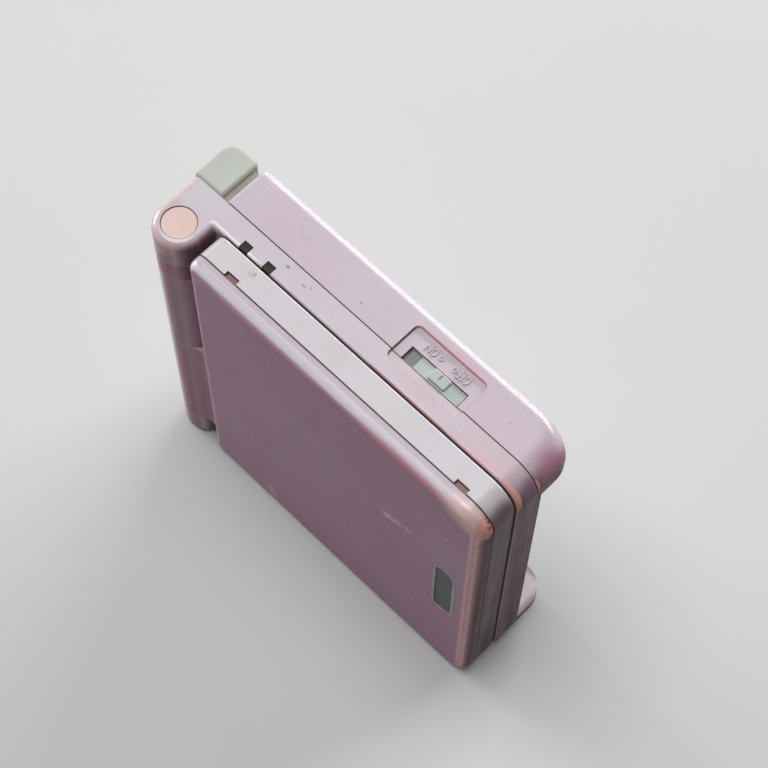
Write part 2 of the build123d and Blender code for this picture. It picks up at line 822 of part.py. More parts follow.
def base_bottom_shell():
    shell = lower_body() + lower_shell_back()
    ear = shoulder_ear()
    shell += ear + other_side(ear)
    # main hollow, split into a part under the board and the wells that stay walled
    hollow = span(lower_back + shell_wall, cavity_end - shell_wall, shell_wall,
                  case_width - shell_wall)
    inside = plan(hollow, split_y, underside_y - shell_wall)
    back_half = mid_z - shoulder_length - shoulder_side_inset - shoulder_gap - shell_wall
    back_room = span(base_back + shell_wall, lower_back + shell_wall + 1,
                     mid_z - back_half, mid_z + back_half)
    inside += plan(back_room, split_y, underside_y - shell_wall - 0.7)
    tunnel = bay_box(bay_wall)
    well = plan(battery_well_outline(well_wall), well_top_y - well_wall, underside_y)
    door_seat = plan(door_outline(well_wall), underside_y - door_thickness - 1.2, underside_y)
    keep = tunnel + well + door_seat
    for x, z in case_screw_places():
        keep += post(x, z, boss_radius, split_y + seam_gap, underside_y)
    shell -= inside - keep
    # cartridge bay, and the underside cut away at its mouth between the corner lumps
    shell -= bay_box(0)
    mouth = span(cavity_end, case_length + 1, corner_lump_width, case_width - corner_lump_width)
    cut = plan(mouth, bay_ceiling_y, underside_y + 1)
    cut = fillet(cut.edges().filter_by(Axis.Y).group_by(Axis.X)[0], 2.0)
    shell -= cut
    lip_room = span(case_length - front_lip_depth - seam_gap, case_length + 1,
                    corner_lump_width, case_width - corner_lump_width)
    shell -= plan(lip_room, split_y, bay_ceiling_y)
    # battery well and its door
    shell -= plan(battery_well_outline(0), well_top_y, underside_y)
    shell -= plan(door_outline(seat_clearance), underside_y - door_thickness, underside_y)
    x, z = door_screw_place()
    shell -= post(x, z, door_screw_radius, underside_y - door_screw_length - 0.1, underside_y)
    for tab_x in door_tab_places():
        tab = span(tab_x - door_tab_width / 2 - 0.1, tab_x + door_tab_width / 2 + 0.1,
                   well_low - door_margin - door_tab_reach - 0.2, well_low - door_margin + 1)
        shell -= plan(tab, underside_y - door_thickness - 0.05, underside_y - 0.6)
    # ports, shoulder button windows
    shell -= port_hole(link_port_z, link_port_width, link_port_height)
    shell -= port_hole(power_port_z, power_port_width, power_port_height)
    window = flange_window()
    shell -= window + other_side(window)
    # shoulder pins, screws from below
    x, z = shoulder_pin_place()
    pin_hole = post(x, z, shoulder_pin_radius, split_y, shoulder_pin_end())
    shell -= pin_hole + other_side(pin_hole)
    for x, z in case_screw_places():
        shell -= post(x, z, screw_head_radius + part_clearance, underside_y - screw_seat_depth,
                      underside_y)
        shell -= post(x, z, screw_shank_radius + part_clearance, split_y, underside_y - 1)
    # switch windows in the side walls
    shell -= power_panel()
    shell -= switch_window(power_window_start, power_window_length)
    shell -= other_side(switch_window(volume_window_start, volume_window_length))
    # rebate for the upper casing's tongue
    rebate_back = lower_back + lip_setback
    rebate = case_outline(rebate_back, cavity_end + 3, shell_wall / 2, 2.0, 0.5)
    rebate -= case_outline(rebate_back, cavity_end + 3, shell_wall + 0.05, 2.0, 0.5)
    rebate -= span(0, rebate_back + shell_wall + 2, 0, case_width)
    rebate -= span(cavity_end - 0.5, case_length, 0, case_width)
    shell -= plan(rebate, split_y, split_y + lip_height)
    # shadow line along the split
    shell -= plan(span(lower_back, case_length, 0, case_width) - seam_core(), split_y,
                  split_y + seam_gap)
    return shell


def seam_core():
    return case_outline(lower_back, case_length, 0.6, 1.2, base_front_corner)


def battery_door():
    door = plan(door_outline(-part_clearance / 2), underside_y - door_thickness, underside_y)
    for tab_x in door_tab_places():
        tab = span(tab_x - door_tab_width / 2, tab_x + door_tab_width / 2,
                   well_low - door_margin - door_tab_reach, well_low - door_margin + 1)
        door += plan(tab, underside_y - door_thickness, underside_y - 0.7)
    x, z = door_screw_place()
    door -= post(x, z, door_screw_radius + 1.2, underside_y - 0.9, underside_y)
    door -= post(x, z, door_screw_radius + 0.1, underside_y - door_thickness, underside_y)
    return door


def slotted_screw(x, z, head_radius, head_height, shank_radius, tip_y, head_y):
    """Screw driven from the underside, its head outward, with a cross drive."""
    screw = post(x, z, head_radius, head_y - head_height, head_y)
    screw += post(x, z, shank_radius, tip_y, head_y - head_height)
    cross = Rectangle(drive_width, 1.6 * head_radius)
    cross += Rectangle(1.6 * head_radius, drive_width)
    return screw - plan(Pos(x, z) * cross, head_y - drive_depth, head_y)


def battery_door_screw():
    x, z = door_screw_place()
    return slotted_screw(x, z, door_screw_radius + 1.0, 0.8, door_screw_radius - seat_clearance,
                         underside_y - door_screw_length, underside_y - 0.1)


def case_screws():
    screws = []
    for x, z in case_screw_places():
        screws.append(slotted_screw(x, z, screw_head_radius, screw_head_height,
                                    screw_shank_radius - seat_clearance, panel_under_y + 0.6,
                                    underside_y - screw_seat_depth + screw_head_height))
    return screws


def battery_pack():
    pack = plan(battery_well_outline(-battery_clearance), battery_top_y, battery_low_y)
    contacts = span(well_front - battery_clearance - 0.4, well_front - battery_clearance, 0, 1)
    for index in range(3):
        low = mid_z - 8 + index * 6
        pocket = Pos(0, low) * contacts
        pack -= plan(pocket, battery_top_y + 1, battery_top_y + 3)
    return pack


# ---- electronics ----------------------------------------------------------------------------------------
def main_board():
    margin = shell_wall + board_margin
    board = rounded_span(trough_end() + shell_wall + 0.5, case_length - front_lip_depth - 2,
                         margin, case_width - margin, 2.0)
    for x, z in case_screw_places():
        board -= Pos(x, z) * Circle(boss_radius + 0.3)
    return plan(board, board_top_y, board_top_y + board_thickness)


def cartridge_connector():
    """Socket at the blind end of the bay with its row of sprung contacts."""
    low = mid_z - connector_width / 2
    body = span(bay_back - connector_length, bay_back, bay_ceiling_y, bay_floor_y - 1.4)
    socket = side(body, low, low + connector_width)
    mouth_y = (bay_ceiling_y + bay_floor_y) / 2
    throat = span(bay_back - connector_length + connector_wall, bay_back,
                  mouth_y - connector_throat / 2, mouth_y + connector_throat / 2)
    socket -= side(throat, low + connector_wall, low + connector_width - connector_wall)
    post_x = bay_back - connector_length / 2
    socket += plan(span(post_x - 1.5, post_x + 1.5, low, low + connector_width),
                   board_top_y + board_thickness, bay_ceiling_y)
    return socket


def cartridge_contacts():
    contacts = []
    first = mid_z - (contact_count - 1) * contact_pitch / 2
    mouth_y = (bay_ceiling_y + bay_floor_y) / 2
    for index in range(contact_count):
        z = first + index * contact_pitch
        reach = span(bay_back - connector_length + connector_wall, bay_back - contact_setback,
                     mouth_y - connector_throat / 2,
                     mouth_y - connector_throat / 2 + contact_thickness)
        contacts.append(side(reach, z - contact_width / 2, z + contact_width / 2))
    return contacts


def port_shell(z, width, height):
    """Socket behind a port opening: an open box with a contact tongue inside."""
    y = split_y + port_centre_drop
    front = base_back + shell_wall
    outer = span(front, base_back + port_depth + port_wall,
                 y - height / 2 - port_wall, y + height / 2 + port_wall)
    block = side(outer, z - width / 2 - port_wall, z + width / 2 + port_wall)
    block -= port_hole(z, width, height)
    tongue = span(front + 2.2, base_back + port_depth, y - height / 2,
                  y - height / 2 + port_tongue_thickness)
    block += side(tongue, z - width / 4, z + width / 4)
    leg = span(front + 2, base_back + port_depth, board_top_y + board_thickness,
               y - height / 2 - port_wall)
    return block + side(leg, z - width / 4, z + width / 4)


def speaker():
    top = panel_under_y
    can = post(speaker_x, mid_z, speaker_radius, top, top + speaker_thickness)
    ring = post(speaker_x, mid_z, speaker_radius - 1.2, top, top + 0.6)
    cone = post(speaker_x, mid_z, 3.0, top + 0.3, top + 0.6)
    return can - ring + cone


def membrane_dome(x, z):
    return post(x, z, dome_radius, membrane_top_y - dome_height, membrane_top_y)


def control_membranes():
    """Rubber sheets with a low dome under each button, lying on the board."""
    pad_half = pad_span / 2 + membrane_margin
    x, z = pad_centre
    a, b = button_a_centre, button_b_centre
    face_half = face_button_radius + membrane_margin
    low, high = mid_z - small_button_offset, mid_z + small_button_offset
    small_half = small_button_radius + membrane_margin
    mats = [rounded_span(x - pad_half, x + pad_half, z - pad_half, z + pad_half, 2.0),
            rounded_span(a[0] - face_half, b[0] + face_half, b[1] - face_half, a[1] + face_half,
                         2.0),
            rounded_span(small_button_x - small_half, small_button_x + small_half,
                         low - small_half, high + small_half, 2.0)]
    solids = [plan(mat, membrane_top_y, board_top_y) for mat in mats]
    solids.append(plan(Pos(light_button_x, mid_z) * light_outline(membrane_margin),
                       membrane_top_y, board_top_y))
    spots = [(0, x - dome_spread, z), (0, x + dome_spread, z),
             (0, x, z - dome_spread), (0, x, z + dome_spread),
             (1, a[0], a[1]), (1, b[0], b[1]), (2, small_button_x, low), (2, small_button_x, high)]
    for mat_index, spot_x, spot_z in spots:
        solids[mat_index] += membrane_dome(spot_x, spot_z)
    return solids


# ---- moving controls --------------------------------------------------------------------------------------
def pressed_button(outline, flange_outline):
    """A cap through the panel with a flange below it that keeps it in."""
    top = panel_y - button_crown
    cap = plan(outline, top, panel_under_y)
    cap = fillet(edges_at_depth(cap, top), 0.5)
    return cap + plan(flange_outline, panel_under_y, panel_under_y + button_flange_thickness)


def round_button(x, z, radius):
    place = Pos(x, z)
    return pressed_button(place * Circle(radius), place * Circle(radius + button_flange))


def light_button():
    place = Pos(light_button_x, mid_z)
    return pressed_button(place * light_outline(0), place * light_outline(button_flange))


def direction_pad():
    """Cross-shaped pad with a dished top, on a round flange that rocks on its pivot."""
    x, z = pad_centre
    top = panel_y - button_crown
    flange_y = pad_flange_y
    cross = plan(pad_place() * cross_outline(pad_span, pad_arm_width, 1.0), top, flange_y)
    cross = fillet(edges_at_depth(cross, top), 0.6)
    dish_radius = 30.0
    dish = Pos(x, top + 0.35 - dish_radius, z) * Sphere(dish_radius)
    cross -= dish & post(x, z, 4.5, top - 1, top + 1)
    cross += post(x, z, pad_flange_radius, flange_y, flange_y + pad_flange_thickness)
    seat = pivot_radius + running_clearance
    return cross - post(x, z, seat, flange_y - pip_height - 0.1,
                        flange_y + pad_flange_thickness)


def pad_pivot():
    """Pivot pip the pad rocks on, standing on the rubber sheet."""
    x, z = pad_centre
    pip_y = pad_flange_y - pip_height
    pip = post(x, z, pivot_radius, pip_y, membrane_top_y - pivot_radius * math.sin(
        math.radians(pad_tilt)) - 0.05)
    return chamfer(edges_at_depth(pip, pip_y), 0.3)


def shoulder_button():
    """Right shoulder button; the left one is its mirror image."""
    top = split_y + shoulder_gap
    low = top + shoulder_height
    z_low = case_width - shoulder_side_inset - shoulder_length
    z_high = case_width - shoulder_side_inset
    profile = span(0, shoulder_depth, top, low)
    corner = profile.vertices().group_by(Axis.X)[0].sort_by(Axis.Y)
    profile = fillet(corner[-1], shoulder_outer_round)
    corner = profile.vertices().group_by(Axis.X)[-1].sort_by(Axis.Y)
    profile = fillet(corner[-1], shoulder_inner_round)
    corner = profile.vertices().group_by(Axis.Y)[0].sort_by(Axis.X)
    profile = fillet(corner[0], shoulder_edge_round)
    button = side(profile, z_low, z_high)
    button = fillet(edges_at_height(button, z_high), shoulder_edge_round)
    # hollow for the casing's tab, pin hole, and the flange behind
    x, z = shoulder_pin_place()
    ear_top = low - shoulder_ear_height
    room = Pos(x, z) * Circle(2.3) + span(x - 2.3, shoulder_depth, z_low, z + 0.4)
    button -= plan(room, ear_top - part_clearance, low)
    button -= post(x, z, shoulder_pin_radius + running_clearance, top, low)
    flange = span(shoulder_depth - 1.5, shoulder_depth + shoulder_flange_reach,
                  top + shoulder_flange_rise, low - shoulder_flange_drop)
    button += side(flange, z + shoulder_flange_start,
                   case_width - shell_wall - shoulder_flange_clearance)
    return button


def shoulder_pins():
    x, z = shoulder_pin_place()
    pin = post(x, z, shoulder_pin_radius, split_y, shoulder_pin_end())
    return [pin, other_side(pin)]


def shoulder_switches():
    """Small tact switches that the shoulder buttons' flanges press."""
    _, pin_z = shoulder_pin_place()
    start = shoulder_depth + shoulder_flange_reach + tact_switch_gap
    front = start + tact_plunger_reach
    back = front + tact_switch_depth
    high = split_y + tact_switch_height / 2
    low = high + tact_switch_height
    z = pin_z + shoulder_flange_start + tact_plunger_width
    half = tact_switch_width / 2
    body = side(span(front, back, high, low), z - half, z + half)
    middle = (high + low) / 2
    plunger_half = tact_plunger_width / 2
    body += side(span(start, front, middle - plunger_half, middle + plunger_half),
                 z - plunger_half, z + plunger_half)
    leg = span(back - tact_switch_depth / 3, back, board_top_y + board_thickness, high)
    body += side(leg, z - plunger_half, z + plunger_half)
    return [body, other_side(body)]


def slide_base_face():
    """Height of the hidden base's outer face, just inside the side wall."""
    return case_width - shell_wall - part_clearance


def slide_switch_knob(window_start, window_length, plate_start, plate_length, knob_start):
    """Hidden base that always fills the window, a raised plate on it, and the knob."""
    window_end = window_start + window_length
    plate_end = plate_start + plate_length
    back_travel = plate_start - window_start - part_clearance
    front_travel = window_end - plate_end - part_clearance
    base = span(window_start - front_travel - slide_base_overlap,
                window_end + back_travel + slide_base_overlap,
                split_y - slide_base_overlap, split_y + switch_window_height + slide_base_overlap)
    face = slide_base_face()
    slider = side(base, face - slide_base_thickness, face)
    high_y = split_y + part_clearance
    low_y = split_y + switch_window_height - part_clearance
    plate_face = case_width - slide_plate_depth
    slider += side(span(plate_start, plate_end, high_y, low_y), face, plate_face)
    knob_face = case_width - slide_knob_inset
    knob = side(rounded_span(knob_start, knob_start + slide_knob_length,
                             low_y - slide_knob_height, low_y, slide_knob_corner),
                plate_face - 0.1, knob_face)
    knob = fillet(edges_at_height(knob, knob_face), slide_knob_round)
    middle = knob_start + slide_knob_length / 2
    upper_margin, lower_margin = slide_groove_margin
    groove = span(middle - slide_groove_width / 2, middle + slide_groove_width / 2,
                  low_y - slide_knob_height + upper_margin, low_y - lower_margin)
    return slider + knob - side(groove, knob_face - slide_groove_depth, knob_face)


def power_slider():
    """Power switch at the end of its travel away from the hinge."""
    plate_end = power_window_start + power_window_length - part_clearance
    plate_start = plate_end - power_plate_length
    return slide_switch_knob(power_window_start, power_window_length, plate_start,
                             power_plate_length, plate_start + power_knob_from_plate)


def volume_slider():
    """Volume slider at the middle of its travel."""
    middle = volume_window_start + volume_window_length / 2
    slider = slide_switch_knob(volume_window_start, volume_window_length,
                               middle - volume_plate_length / 2, volume_plate_length,
                               middle - slide_knob_length / 2)
    return other_side(slider)


def switch_body(window_start, window_length):
    """Slide switch under the board, behind a slider's base."""
    top = slide_base_face() - slide_base_thickness - part_clearance
    profile = span(window_start + switch_body_inset,
                   window_start + window_length - switch_body_inset,
                   board_top_y + board_thickness, split_y + switch_window_height)
    return side(profile, top - switch_body_depth, top)


def lamp_pipes():
    """Smoked light guides from the board to the two windows in the right side."""
    pipes = []
    for start in lamp_starts:
        window = span(start + seat_clearance, start + lamp_width - seat_clearance,
                      base_top_y + 0.1, base_top_y + lamp_height - seat_clearance)
        pipes.append(side(window, case_width - shell_wall, case_width - lamp_recess))
    return pipes


# ---- the whole console -----------------------------------------------------------------------------------
def build_nodes():
    low_z, high_z = mid_z - small_button_offset, mid_z + small_button_offset
    a_x, a_z = button_a_centre
    b_x, b_z = button_b_centre
    shoulder_right = shoulder_button()
    return {
        "lid_outer_cover": lid_outer_cover(),
        "lid_bezel": lid_bezel(),
        "screen_lens": screen_lens(),
        "display_panel": display_panel(),
        "display_flat_cable": display_cable(),
        "lid_screws": lid_screws(),
        "lid_screw_pads": lid_screw_pads(),
        "badge_frame": badge_frame(),
        "badge_plate": badge_plate(),
        "hinge_collar": hinge_collar(),
        "hinge_click_unit": hinge_click_unit(),
        "hinge_bush": hinge_bush(),
        "hinge_end_caps": hinge_end_caps(),
        "base_top_shell": base_top_shell(),
        "base_bottom_shell": base_bottom_shell(),
        "battery_door": battery_door(),
        "battery_door_screw": battery_door_screw(),
        "case_screws": case_screws(),
        "battery_pack": battery_pack(),
        "main_board": main_board(),
        "cartridge_connector": cartridge_connector(),
        "cartridge_contacts": cartridge_contacts(),
        "link_port": port_shell(link_port_z, link_port_width, link_port_height),
        "power_port": port_shell(power_port_z, power_port_width, power_port_height),
        "speaker": speaker(),
        "control_membranes": control_membranes(),
        "direction_pad": direction_pad(),
        "direction_pad_pivot": pad_pivot(),
        "button_a": round_button(a_x, a_z, face_button_radius),
        "button_b": round_button(b_x, b_z, face_button_radius),
        "select_button": round_button(small_button_x, low_z, small_button_radius),
        "start_button": round_button(small_button_x, high_z, small_button_radius),
        "light_button": light_button(),
        "shoulder_button_right": shoulder_right,
        "shoulder_button_left": other_side(shoulder_right),
        "shoulder_pins": shoulder_pins(),
        "shoulder_switches": shoulder_switches(),
        "power_slider": power_slider(),
        "power_switch": switch_body(power_window_start, power_window_length),
        "volume_slider": volume_slider(),
        "volume_switch": other_side(switch_body(volume_window_start, volume_window_length)),
        "lamp_pipes": lamp_pipes(),
    }


def solids_of(shape):
    """Every separate solid of a node, whatever form it was made in."""
    if isinstance(shape, list):
        return [solid for item in shape for solid in solids_of(item)]
    return list(shape.solids())


os.makedirs("parts", exist_ok=True)
to_row_frame = Pos(-case_length / 2, -underside_y / 2, 0)
for name, shape in build_nodes().items():
    placed = Compound(children=[to_row_frame * solid for solid in solids_of(shape)])
    export_step(placed, f"parts/{name}.step")
    print(f"{name:26s} solids {len(placed.solids()):3d}  volume {placed.volume:10.1f}")
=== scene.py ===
# %% [markdown]
# # A folded clamshell console
# The engineering model already holds every moulded shape, hinge and button, each at its real size.
# Blender's job is the rest: the light, the worn pearl paint, the smoked windows and the small
# details that are too fine for moulds. Everything is in metres and stands on its left side.

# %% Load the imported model
import math

import bpy
from mathutils import Matrix, Vector


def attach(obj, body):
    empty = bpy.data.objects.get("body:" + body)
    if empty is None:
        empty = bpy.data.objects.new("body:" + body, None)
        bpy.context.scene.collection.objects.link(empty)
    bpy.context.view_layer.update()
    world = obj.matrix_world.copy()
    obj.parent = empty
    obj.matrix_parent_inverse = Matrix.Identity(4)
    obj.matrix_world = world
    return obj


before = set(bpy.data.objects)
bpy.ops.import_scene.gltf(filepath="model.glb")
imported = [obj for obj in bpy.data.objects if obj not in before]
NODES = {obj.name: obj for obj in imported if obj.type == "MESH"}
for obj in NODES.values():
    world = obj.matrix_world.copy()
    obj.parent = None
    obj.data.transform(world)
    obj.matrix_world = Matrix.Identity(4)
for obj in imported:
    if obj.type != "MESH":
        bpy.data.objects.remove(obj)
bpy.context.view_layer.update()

# %% [markdown]
# ## Measuring in the console's own directions
# A maker measures from the hinge end, from the lid's outer face and from the left side. The helper
# `place` turns such millimetres into scene metres, so every number below can be read off a ruler
# laid on the console.

# %% Millimetres to metres
MM = 0.001
HALF_LENGTH = 42.3
HALF_THICKNESS = 12.15
SIDE_TO_SIDE = 82.0


def place(x, y, z):
    """Millimetres from the hinge end, the lid's crown and the left side, as a scene point."""
    return Vector((x - HALF_LENGTH, y - HALF_THICKNESS, z)) * MM


def srgb(red, green, blue):
    """A colour as a screen shows it, 0 to 255, turned into the linear light that shaders use."""
    def linear(value):
        value /= 255
        return value / 12.92 if value <= 0.04045 else ((value + 0.055) / 1.055) ** 2.4
    return (linear(red), linear(green), linear(blue), 1.0)


print("front right corner", [round(value, 4) for value in place(84.6, 0, 82)])

# %% [markdown]
# ## The camera
# The photograph looks down on the hinge end's right corner from about 65 degrees above the table,
# with a short telephoto lens. The three directions of the camera were solved from the case's
# straight edges. They are written here as the columns of a matrix, because angles would hide the
# slight roll of a hand-held shot.

# %% Camera
CAMERA_RIGHT = Vector((0.711838, 0.702314, 0.006540))
CAMERA_UP = Vector((-0.641053, 0.645886, 0.414587))
CAMERA_BACK = Vector((0.286946, -0.299312, 0.909986))
CAMERA_PLACE = Vector((0.11580, -0.11298, 0.41351))
FOCAL_LENGTH = 100.32
SENSOR_WIDTH = 36.0

camera_data = bpy.data.cameras.new("photo_camera")
camera_data.lens = FOCAL_LENGTH
camera_data.sensor_width = SENSOR_WIDTH
camera_data.clip_start = 0.02
camera_data.clip_end = 20.0
camera = bpy.data.objects.new("photo_camera", camera_data)
turn = Matrix((CAMERA_RIGHT, CAMERA_UP, CAMERA_BACK)).transposed()
camera.matrix_world = Matrix.Translation(CAMERA_PLACE) @ turn.to_4x4()
bpy.context.scene.collection.objects.link(camera)
bpy.context.scene.camera = camera
print("camera lens", round(camera_data.lens, 2), "mm")

# %% [markdown]
# ## Floor and light
# The top side is bright, the lid's face lies in soft shade, and highlights run along the far edge
# and the hinge barrel's outer side. So one large soft lamp hangs over the console, a long strip
# stands behind it for the far edge, another lamp at the hinge end lights the barrel, and a weak one
# fills the lid's face. No lamp stands before the front edge, which is dark in the photograph.

# %% Studio
def new_object(name, data):
    made = bpy.data.objects.new(name, data)
    bpy.context.scene.collection.objects.link(made)
    return made


def soft_lamp(name, position, target, width, height, power):
    """A flat lamp that looks at a point, like a softbox."""
    lamp = bpy.data.lights.new(name, "AREA")
    lamp.shape = "RECTANGLE"
    lamp.size = width
    lamp.size_y = height
    lamp.energy = power
    made = new_object(name, lamp)
    made.location = position
    made.rotation_mode = "QUATERNION"
    made.rotation_quaternion = (Vector(target) - Vector(position)).to_track_quat("-Z", "Y")


AIM = (0.0, 0.0, 0.05)
soft_lamp("key_softbox", (-0.15, -0.05, 1.30), AIM, 0.75, 0.75, 8.8)
soft_lamp("far_edge_strip", (-0.10, 1.25, 0.50), AIM, 1.20, 0.19, 14.0)
soft_lamp("hinge_softbox", (-1.28, -0.12, 0.28), AIM, 0.55, 0.55, 10.5)
soft_lamp("fill_softbox", (-0.25, -1.15, 0.55), AIM, 0.90, 0.90, 0.9)

world = bpy.data.worlds.new("studio_world")
bpy.context.scene.world = world
world.use_nodes = True
world_background = world.node_tree.nodes["Background"]
world_background.inputs["Color"].default_value = (0.90, 0.92, 0.94, 1.0)
world_background.inputs["Strength"].default_value = 0.09

FLOOR_REACH = 3.0
floor_mesh = bpy.data.meshes.new("floor")
floor_mesh.from_pydata([(-FLOOR_REACH, -FLOOR_REACH, 0), (FLOOR_REACH, -FLOOR_REACH, 0),
                        (FLOOR_REACH, FLOOR_REACH, 0), (-FLOOR_REACH, FLOOR_REACH, 0)], [],
                       [(0, 1, 2, 3)])
floor = new_object("floor", floor_mesh)
bpy.context.scene.view_settings.view_transform = "Standard"

# %% [markdown]
# ## A small kit for building materials
# Every finish here is made of nodes that read the console's own coordinates, in metres. Wiring
# nodes by hand is long, so the class below gives each common step a short name: noise, a soft
# threshold, a spot round a point, a blend of two colours. Each helper returns the socket that
# holds its result.

# %% Material kit
class Wiring:
    """Adds nodes to a tree. A socket given as an input is linked, a plain value is written in."""

    def __init__(self, tree):
        self.tree = tree

    def add(self, kind, inputs=None, **settings):
        made = self.tree.nodes.new(kind)
        for key, value in settings.items():
            setattr(made, key, value)
        for key, value in (inputs or {}).items():
            self.join(value, made.inputs[key])
        return made

    def join(self, value, socket):
        if isinstance(value, bpy.types.NodeSocket):
            self.tree.links.new(value, socket)
        else:
            socket.default_value = value

    def math(self, operation, first, second=0.0):
        return self.add("ShaderNodeMath", {0: first, 1: second}, operation=operation).outputs[0]

    def fold(self, operation, values):
        """One result from many values, taken two at a time."""
        result = values[0]
        for value in values[1:]:
            result = self.math(operation, result, value)
        return result

    def times(self, *values):
        return self.fold("MULTIPLY", values)


class Finish(Wiring):
    """A material in the making: its shader, the point's place and the way its surface faces."""

    def __init__(self, name):
        self.material = bpy.data.materials.new(name)
        self.material.use_nodes = True
        super().__init__(self.material.node_tree)
        self.shader = self.tree.nodes["Principled BSDF"]
        coordinates = self.tree.nodes.new("ShaderNodeTexCoord")
        self.position = coordinates.outputs["Object"]
        split = self.add("ShaderNodeSeparateXYZ", {"Vector": self.position})
        self.x, self.y, self.z = split.outputs
        facing = self.add("ShaderNodeSeparateXYZ", {"Vector": coordinates.outputs["Normal"]})
        self.facing_x, self.facing_y, self.facing_z = facing.outputs

    def most(self, *values):
        return self.fold("MAXIMUM", values)

    def ramp(self, value, low, high):
        """0 below low, 1 above high, smooth between; low may be the larger."""
        made = self.add("ShaderNodeMapRange", {"Value": value, "From Min": low,
                                               "From Max": high},
                        interpolation_type="SMOOTHSTEP")
        return made.outputs["Result"]

    def beyond(self, axis, start, full):
        """0 until one place on an axis, 1 past another, in the console's millimetres."""
        value, origin = {"x": (self.x, HALF_LENGTH), "y": (self.y, HALF_THICKNESS),
                         "z": (self.z, 0.0)}[axis]
        return self.ramp(value, (start - origin) * MM, (full - origin) * MM)

    def noise(self, scale, detail=3.0, roughness=0.55, stretch=(1, 1, 1), shift=0.0):
        mapped = self.add("ShaderNodeMapping", {"Vector": self.position,
                                                "Scale": stretch,
                                                "Location": (shift, shift, shift)})
        made = self.add("ShaderNodeTexNoise", {"Vector": mapped.outputs[0], "Scale": scale,
                                               "Detail": detail, "Roughness": roughness})
        return made.outputs["Fac"]

    def spot(self, centre, radii, edge):
        """1 near a point and 0 outside an ellipsoid, whose radii are in millimetres.

        edge is the share of the radius over which it fades."""
        shifted = self.add("ShaderNodeVectorMath", {0: self.position, 1: place(*centre)},
                           operation="SUBTRACT")
        scaled = self.add("ShaderNodeVectorMath",
                          {0: shifted.outputs[0], 1: [1 / (MM * radius) for radius in radii]},
                          operation="MULTIPLY")
        length = self.add("ShaderNodeVectorMath", {0: scaled.outputs[0]}, operation="LENGTH")
        return self.ramp(length.outputs["Value"], 1.0, 1.0 - edge)

    def chip(self, centre, radii):
        """A spot whose boundary noise has gnawed at, like a knock that took paint off."""
        gnawed = self.math("SUBTRACT", self.noise(420.0, 5.0, 0.65), 0.5)
        shape = self.math("ADD", self.spot(centre, radii, 0.6), self.times(gnawed, 1.1))
        return self.ramp(shape, 0.36, 0.48)

    def specks(self, scale, size, share):
        """Small scattered dots: cells of 1/scale metres, a share of which hold a dot."""
        cells = self.add("ShaderNodeTexVoronoi", {"Vector": self.position, "Scale": scale})
        chosen = self.add("ShaderNodeSeparateColor", {0: cells.outputs["Color"]})
        near = self.ramp(cells.outputs["Distance"], size, 0.5 * size)
        return self.times(near, self.math("LESS_THAN", chosen.outputs[0], share))

    def blend(self, share, first, second):
        made = self.add("ShaderNodeMix", {0: share, 6: first, 7: second}, data_type="RGBA")
        return made.outputs[2]

    def bump(self, height, strength, depth):
        """Relief from a height socket; depth is what a change of 1 stands for, in metres."""
        made = self.add("ShaderNodeBump", {"Height": height, "Strength": strength,
                                           "Distance": depth})
        self.tree.links.new(made.outputs[0], self.shader.inputs["Normal"])

    def set(self, **values):
        names = {"colour": "Base Color", "rough": "Roughness", "metal": "Metallic",
                 "coat": "Coat Weight", "coat_rough": "Coat Roughness",
                 "soft_light": "Subsurface Weight", "soft_depth": "Subsurface Scale",
                 "gloss": "Specular IOR Level"}
        for key, value in values.items():
            self.join(value, self.shader.inputs[names[key]])

    def tint(self, mask, share, colour):
        """Lays one more colour over the base colour that is already linked."""
        clean = self.shader.inputs["Base Color"].links[0].from_socket
        self.set(colour=self.blend(self.times(mask, share), clean, colour))


FINISHES = {}
print("finish helpers", sum(callable(getattr(Finish, name)) for name in dir(Finish)))

# %% [markdown]
# ## The floor's finish
# The floor is meant to be a plain pale sweep. A faint, wide mottling keeps it from looking
# computed. A light-path test shows it pale to the camera and in reflections, while it throws only
# as much light back as a mid-grey table would, so the lid's face stays in soft shade.

# %% Floor finish
def floor_finish():
    made = Finish("pale_floor")
    patches = made.noise(9.0, 4.0)
    pale = made.blend(patches, srgb(214, 215, 214), srgb(220, 221, 220))
    path = made.add("ShaderNodeLightPath").outputs
    seen = made.most(path["Is Camera Ray"], path["Is Glossy Ray"], path["Is Transmission Ray"])
    made.set(colour=made.blend(seen, srgb(112, 112, 110), pale), rough=0.8)
    return made.material


floor.data.materials.append(floor_finish())
print("floor finish", floor.data.materials[0].name)

# %% [markdown]
# ## Worn pearl paint
# The case is moulded in salmon plastic and sprayed with a pearl pink. Years of pockets have
# dulled it: the paint is thin and pink along the lid's rim, gone to bare plastic at the front
# corner, and brown dirt has settled in the seams. Light and shade are painted in as well: the walls
# that face the cartridge end are painted dark, darkest near the table, the walls of the gap between
# lid and base carry painted shade, and some rounded edges carry painted highlights. One function
# makes the paint for each casing, with the wear and the painted light placed by distance: how far a
# point lies inside the casing's rounded outline, and how near it is to a corner. Noise breaks up
# every boundary so that none looks drawn.

# %% Pearl paint
LID_BACK, LID_FRONT, LID_CORNER = 12.4, 84.2, 5.5
BASE_BACK, BASE_FRONT, BASE_CORNER = 0.9, 84.6, 5.8
LID_SEAM, CASE_SEAM = 3.42, 13.95
PANEL_FLOOR = 81.5
BARE_SALMON = srgb(244, 178, 166)
# Painted shade: a dark brown for the walls that face the cartridge end, and a darker one near the
# table.
FRONT_PAINTED_SHADE = srgb(112, 80, 88)
LOW_FRONT_PAINTED_SHADE = srgb(74, 52, 55)
# Brown for the dirt in the seams, also used as painted shade on the walls of the gap between lid
# and base.
SEAM_DIRT_AND_SHADE = srgb(96, 58, 50)


